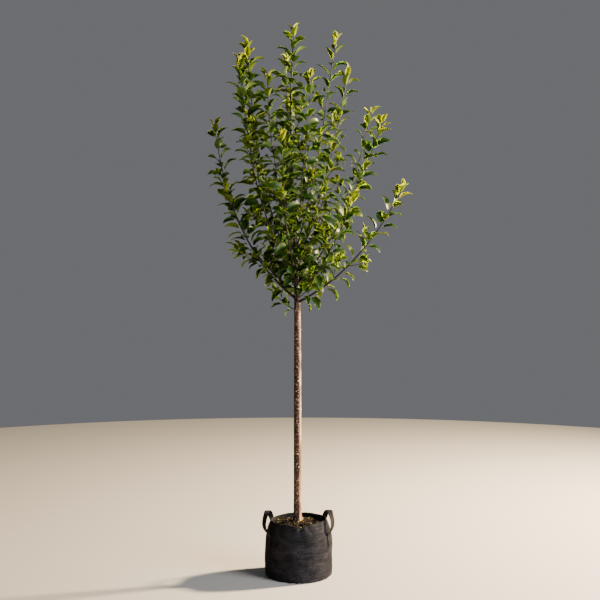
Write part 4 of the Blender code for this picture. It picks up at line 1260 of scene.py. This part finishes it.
def growMoss(skin):
    # seedlings and moss: tufts of tiny blades on the compost
    moss, rng = mossShape, random.Random(8)
    for _ in range(moss["sprouts"]):
        x, y = soilPlace(rng)
        for _ in range(rng.randint(*moss["blades"])):
            turn = rng.uniform(0, math.tau)
            length = rng.uniform(*moss["length"])
            foot = Vector((x + rng.gauss(0, moss["scatter"]), y + rng.gauss(0, moss["scatter"]), 0))
            foot.z = soilHeight(foot.x, foot.y) + moss["lift"]
            outward = around(turn, 1.0, rng.uniform(*moss["rise"])).normalized()
            aside = outward.cross(Vector((0, 0, 1))).normalized() * length * moss["halfWidth"]
            upward = aside.cross(outward).normalized()
            sides = [[foot + outward * length * way + aside * wide * sign
                      + upward * length * moss["cup"] * wide
                      for way, wide in moss["outline"]] for sign in (1, -1)]
            rim = [foot] + sides[0] + [foot + outward * length] + sides[1][::-1]
            middle = foot + outward * length * moss["middle"]
            count = len(rim)
            faces = [(step, (step + 1) % count, count) for step in range(count)]
            faces += [((step + 1) % count, step, count + 1) for step in range(count)]
            addPatch(skin, [tuple(point) for point in rim + [middle, middle - upward * moss["lift"]]], faces)


def moistPeat():
    # Potting compost: crumbled moist peat, nearly black where it is wet and brown where it has dried.
    material, tree, shader = newMaterial("moistPeat", "#1b1410", 0.92, 1.40, 0.15)
    stops = [(0.36, "#0a0806"), (0.55, "#17110d"), (0.72, "#2a2018")]
    grained(tree, shader, 7, (1, 1, 1), 6.0, stops, 2.0, 0.65)
    return material


def chippedBark(name, dark, pale):
    # Chipped pine bark: split across its grain, matt, darker in its layers.
    material, tree, shader = newMaterial("chippedBark" + name, dark, 0.88, shine=0.15)
    grained(tree, shader, 6, (1, 1, 2), 5.0, [(0.35, dark), (0.68, pale)], 0.8)
    return material


def fillBag():
    heapCompost(moistPeat())
    tones = {"Dark": ("#110c09", "#261b14"), "Tan": ("#4f3826", "#856647"), "Grey": ("#433a32", "#7b6f60")}
    skins = {name: newSkin() for name in tones}
    scatterChips(skins)
    for name, skin in skins.items():
        makePiece("barkChips" + name, skin, [chippedBark(name, *tones[name])], 30)
    green = newSkin()
    growMoss(green)
    greenery = newMaterial("seedlingGreen", "#4f6019", 0.60, 1.42)[0]
    makePiece("seedlingsAndMoss", green, [greenery], 30)


limbLines = {name: limbLine(name) for name in limbs}
growTrunk(satinBark(), corkyPore())
shootSkin = shootBark()
growBoughs(limbLines, shootSkin)
print("trunk and boughs grown")
crown, shoots = growCrown(limbLines)
print("crown:", len(crown.leaves), "leaves,", len(crown.shoots), "twigs")
growShoots(crown, shoots, shootSkin)
growLeaves(crown)
print("leaves set")
felt, webbing, thread = needledFelt(), wovenWebbing(), sewingThread()
sewBag(felt, thread)
sewHandles(webbing, thread)
print("bag and handles sewn")
fillBag()
print("compost filled")

# floor and light

studio = {
    "floor": "#a9a8a4", "floorRough": 0.9, "floorRadius": 7, "floorCorners": 96,
    "air": "#e2e4ea", "airStrength": 0.20,
    "key": {"place": (4.95, 1.65, 3.4), "aim": (0, 0, 1.6), "size": 0.6, "power": 3500, "colour": "#ffe0b4"},
    "fill": {"place": (4.3, -3.1, 2.2), "aim": (0, 0, 1.3), "size": 3.0, "power": 760, "colour": "#f0eeee"},
}


def addLamp(name, lamp):
    light = bpy.data.lights.new(name, "AREA")
    light.shape = "DISK"
    light.size, light.energy, light.color = lamp["size"], lamp["power"], linear(lamp["colour"])[:3]
    holder = bpy.data.objects.new(name, light)
    holder.location = lamp["place"]
    holder.rotation_euler = (Vector(lamp["aim"]) - holder.location).to_track_quat("-Z", "Y").to_euler()
    bpy.context.scene.collection.objects.link(holder)


def setStudio():
    material = newMaterial("limewashedFloor", studio["floor"], studio["floorRough"])[0]
    bpy.ops.mesh.primitive_circle_add(vertices=studio["floorCorners"], radius=studio["floorRadius"],
                                      fill_type="NGON", location=(0, 0, 0))
    floor = bpy.context.object
    floor.name = "floor"
    floor.data.materials.append(material)
    world = bpy.data.worlds.new("studioAir")
    world.use_nodes = True
    air = world.node_tree.nodes["Background"]
    air.inputs["Color"].default_value = linear(studio["air"])
    air.inputs["Strength"].default_value = studio["airStrength"]
    bpy.context.scene.world = world
    addLamp("keyLight", studio["key"])
    addLamp("fillLight", studio["fill"])


setStudio()
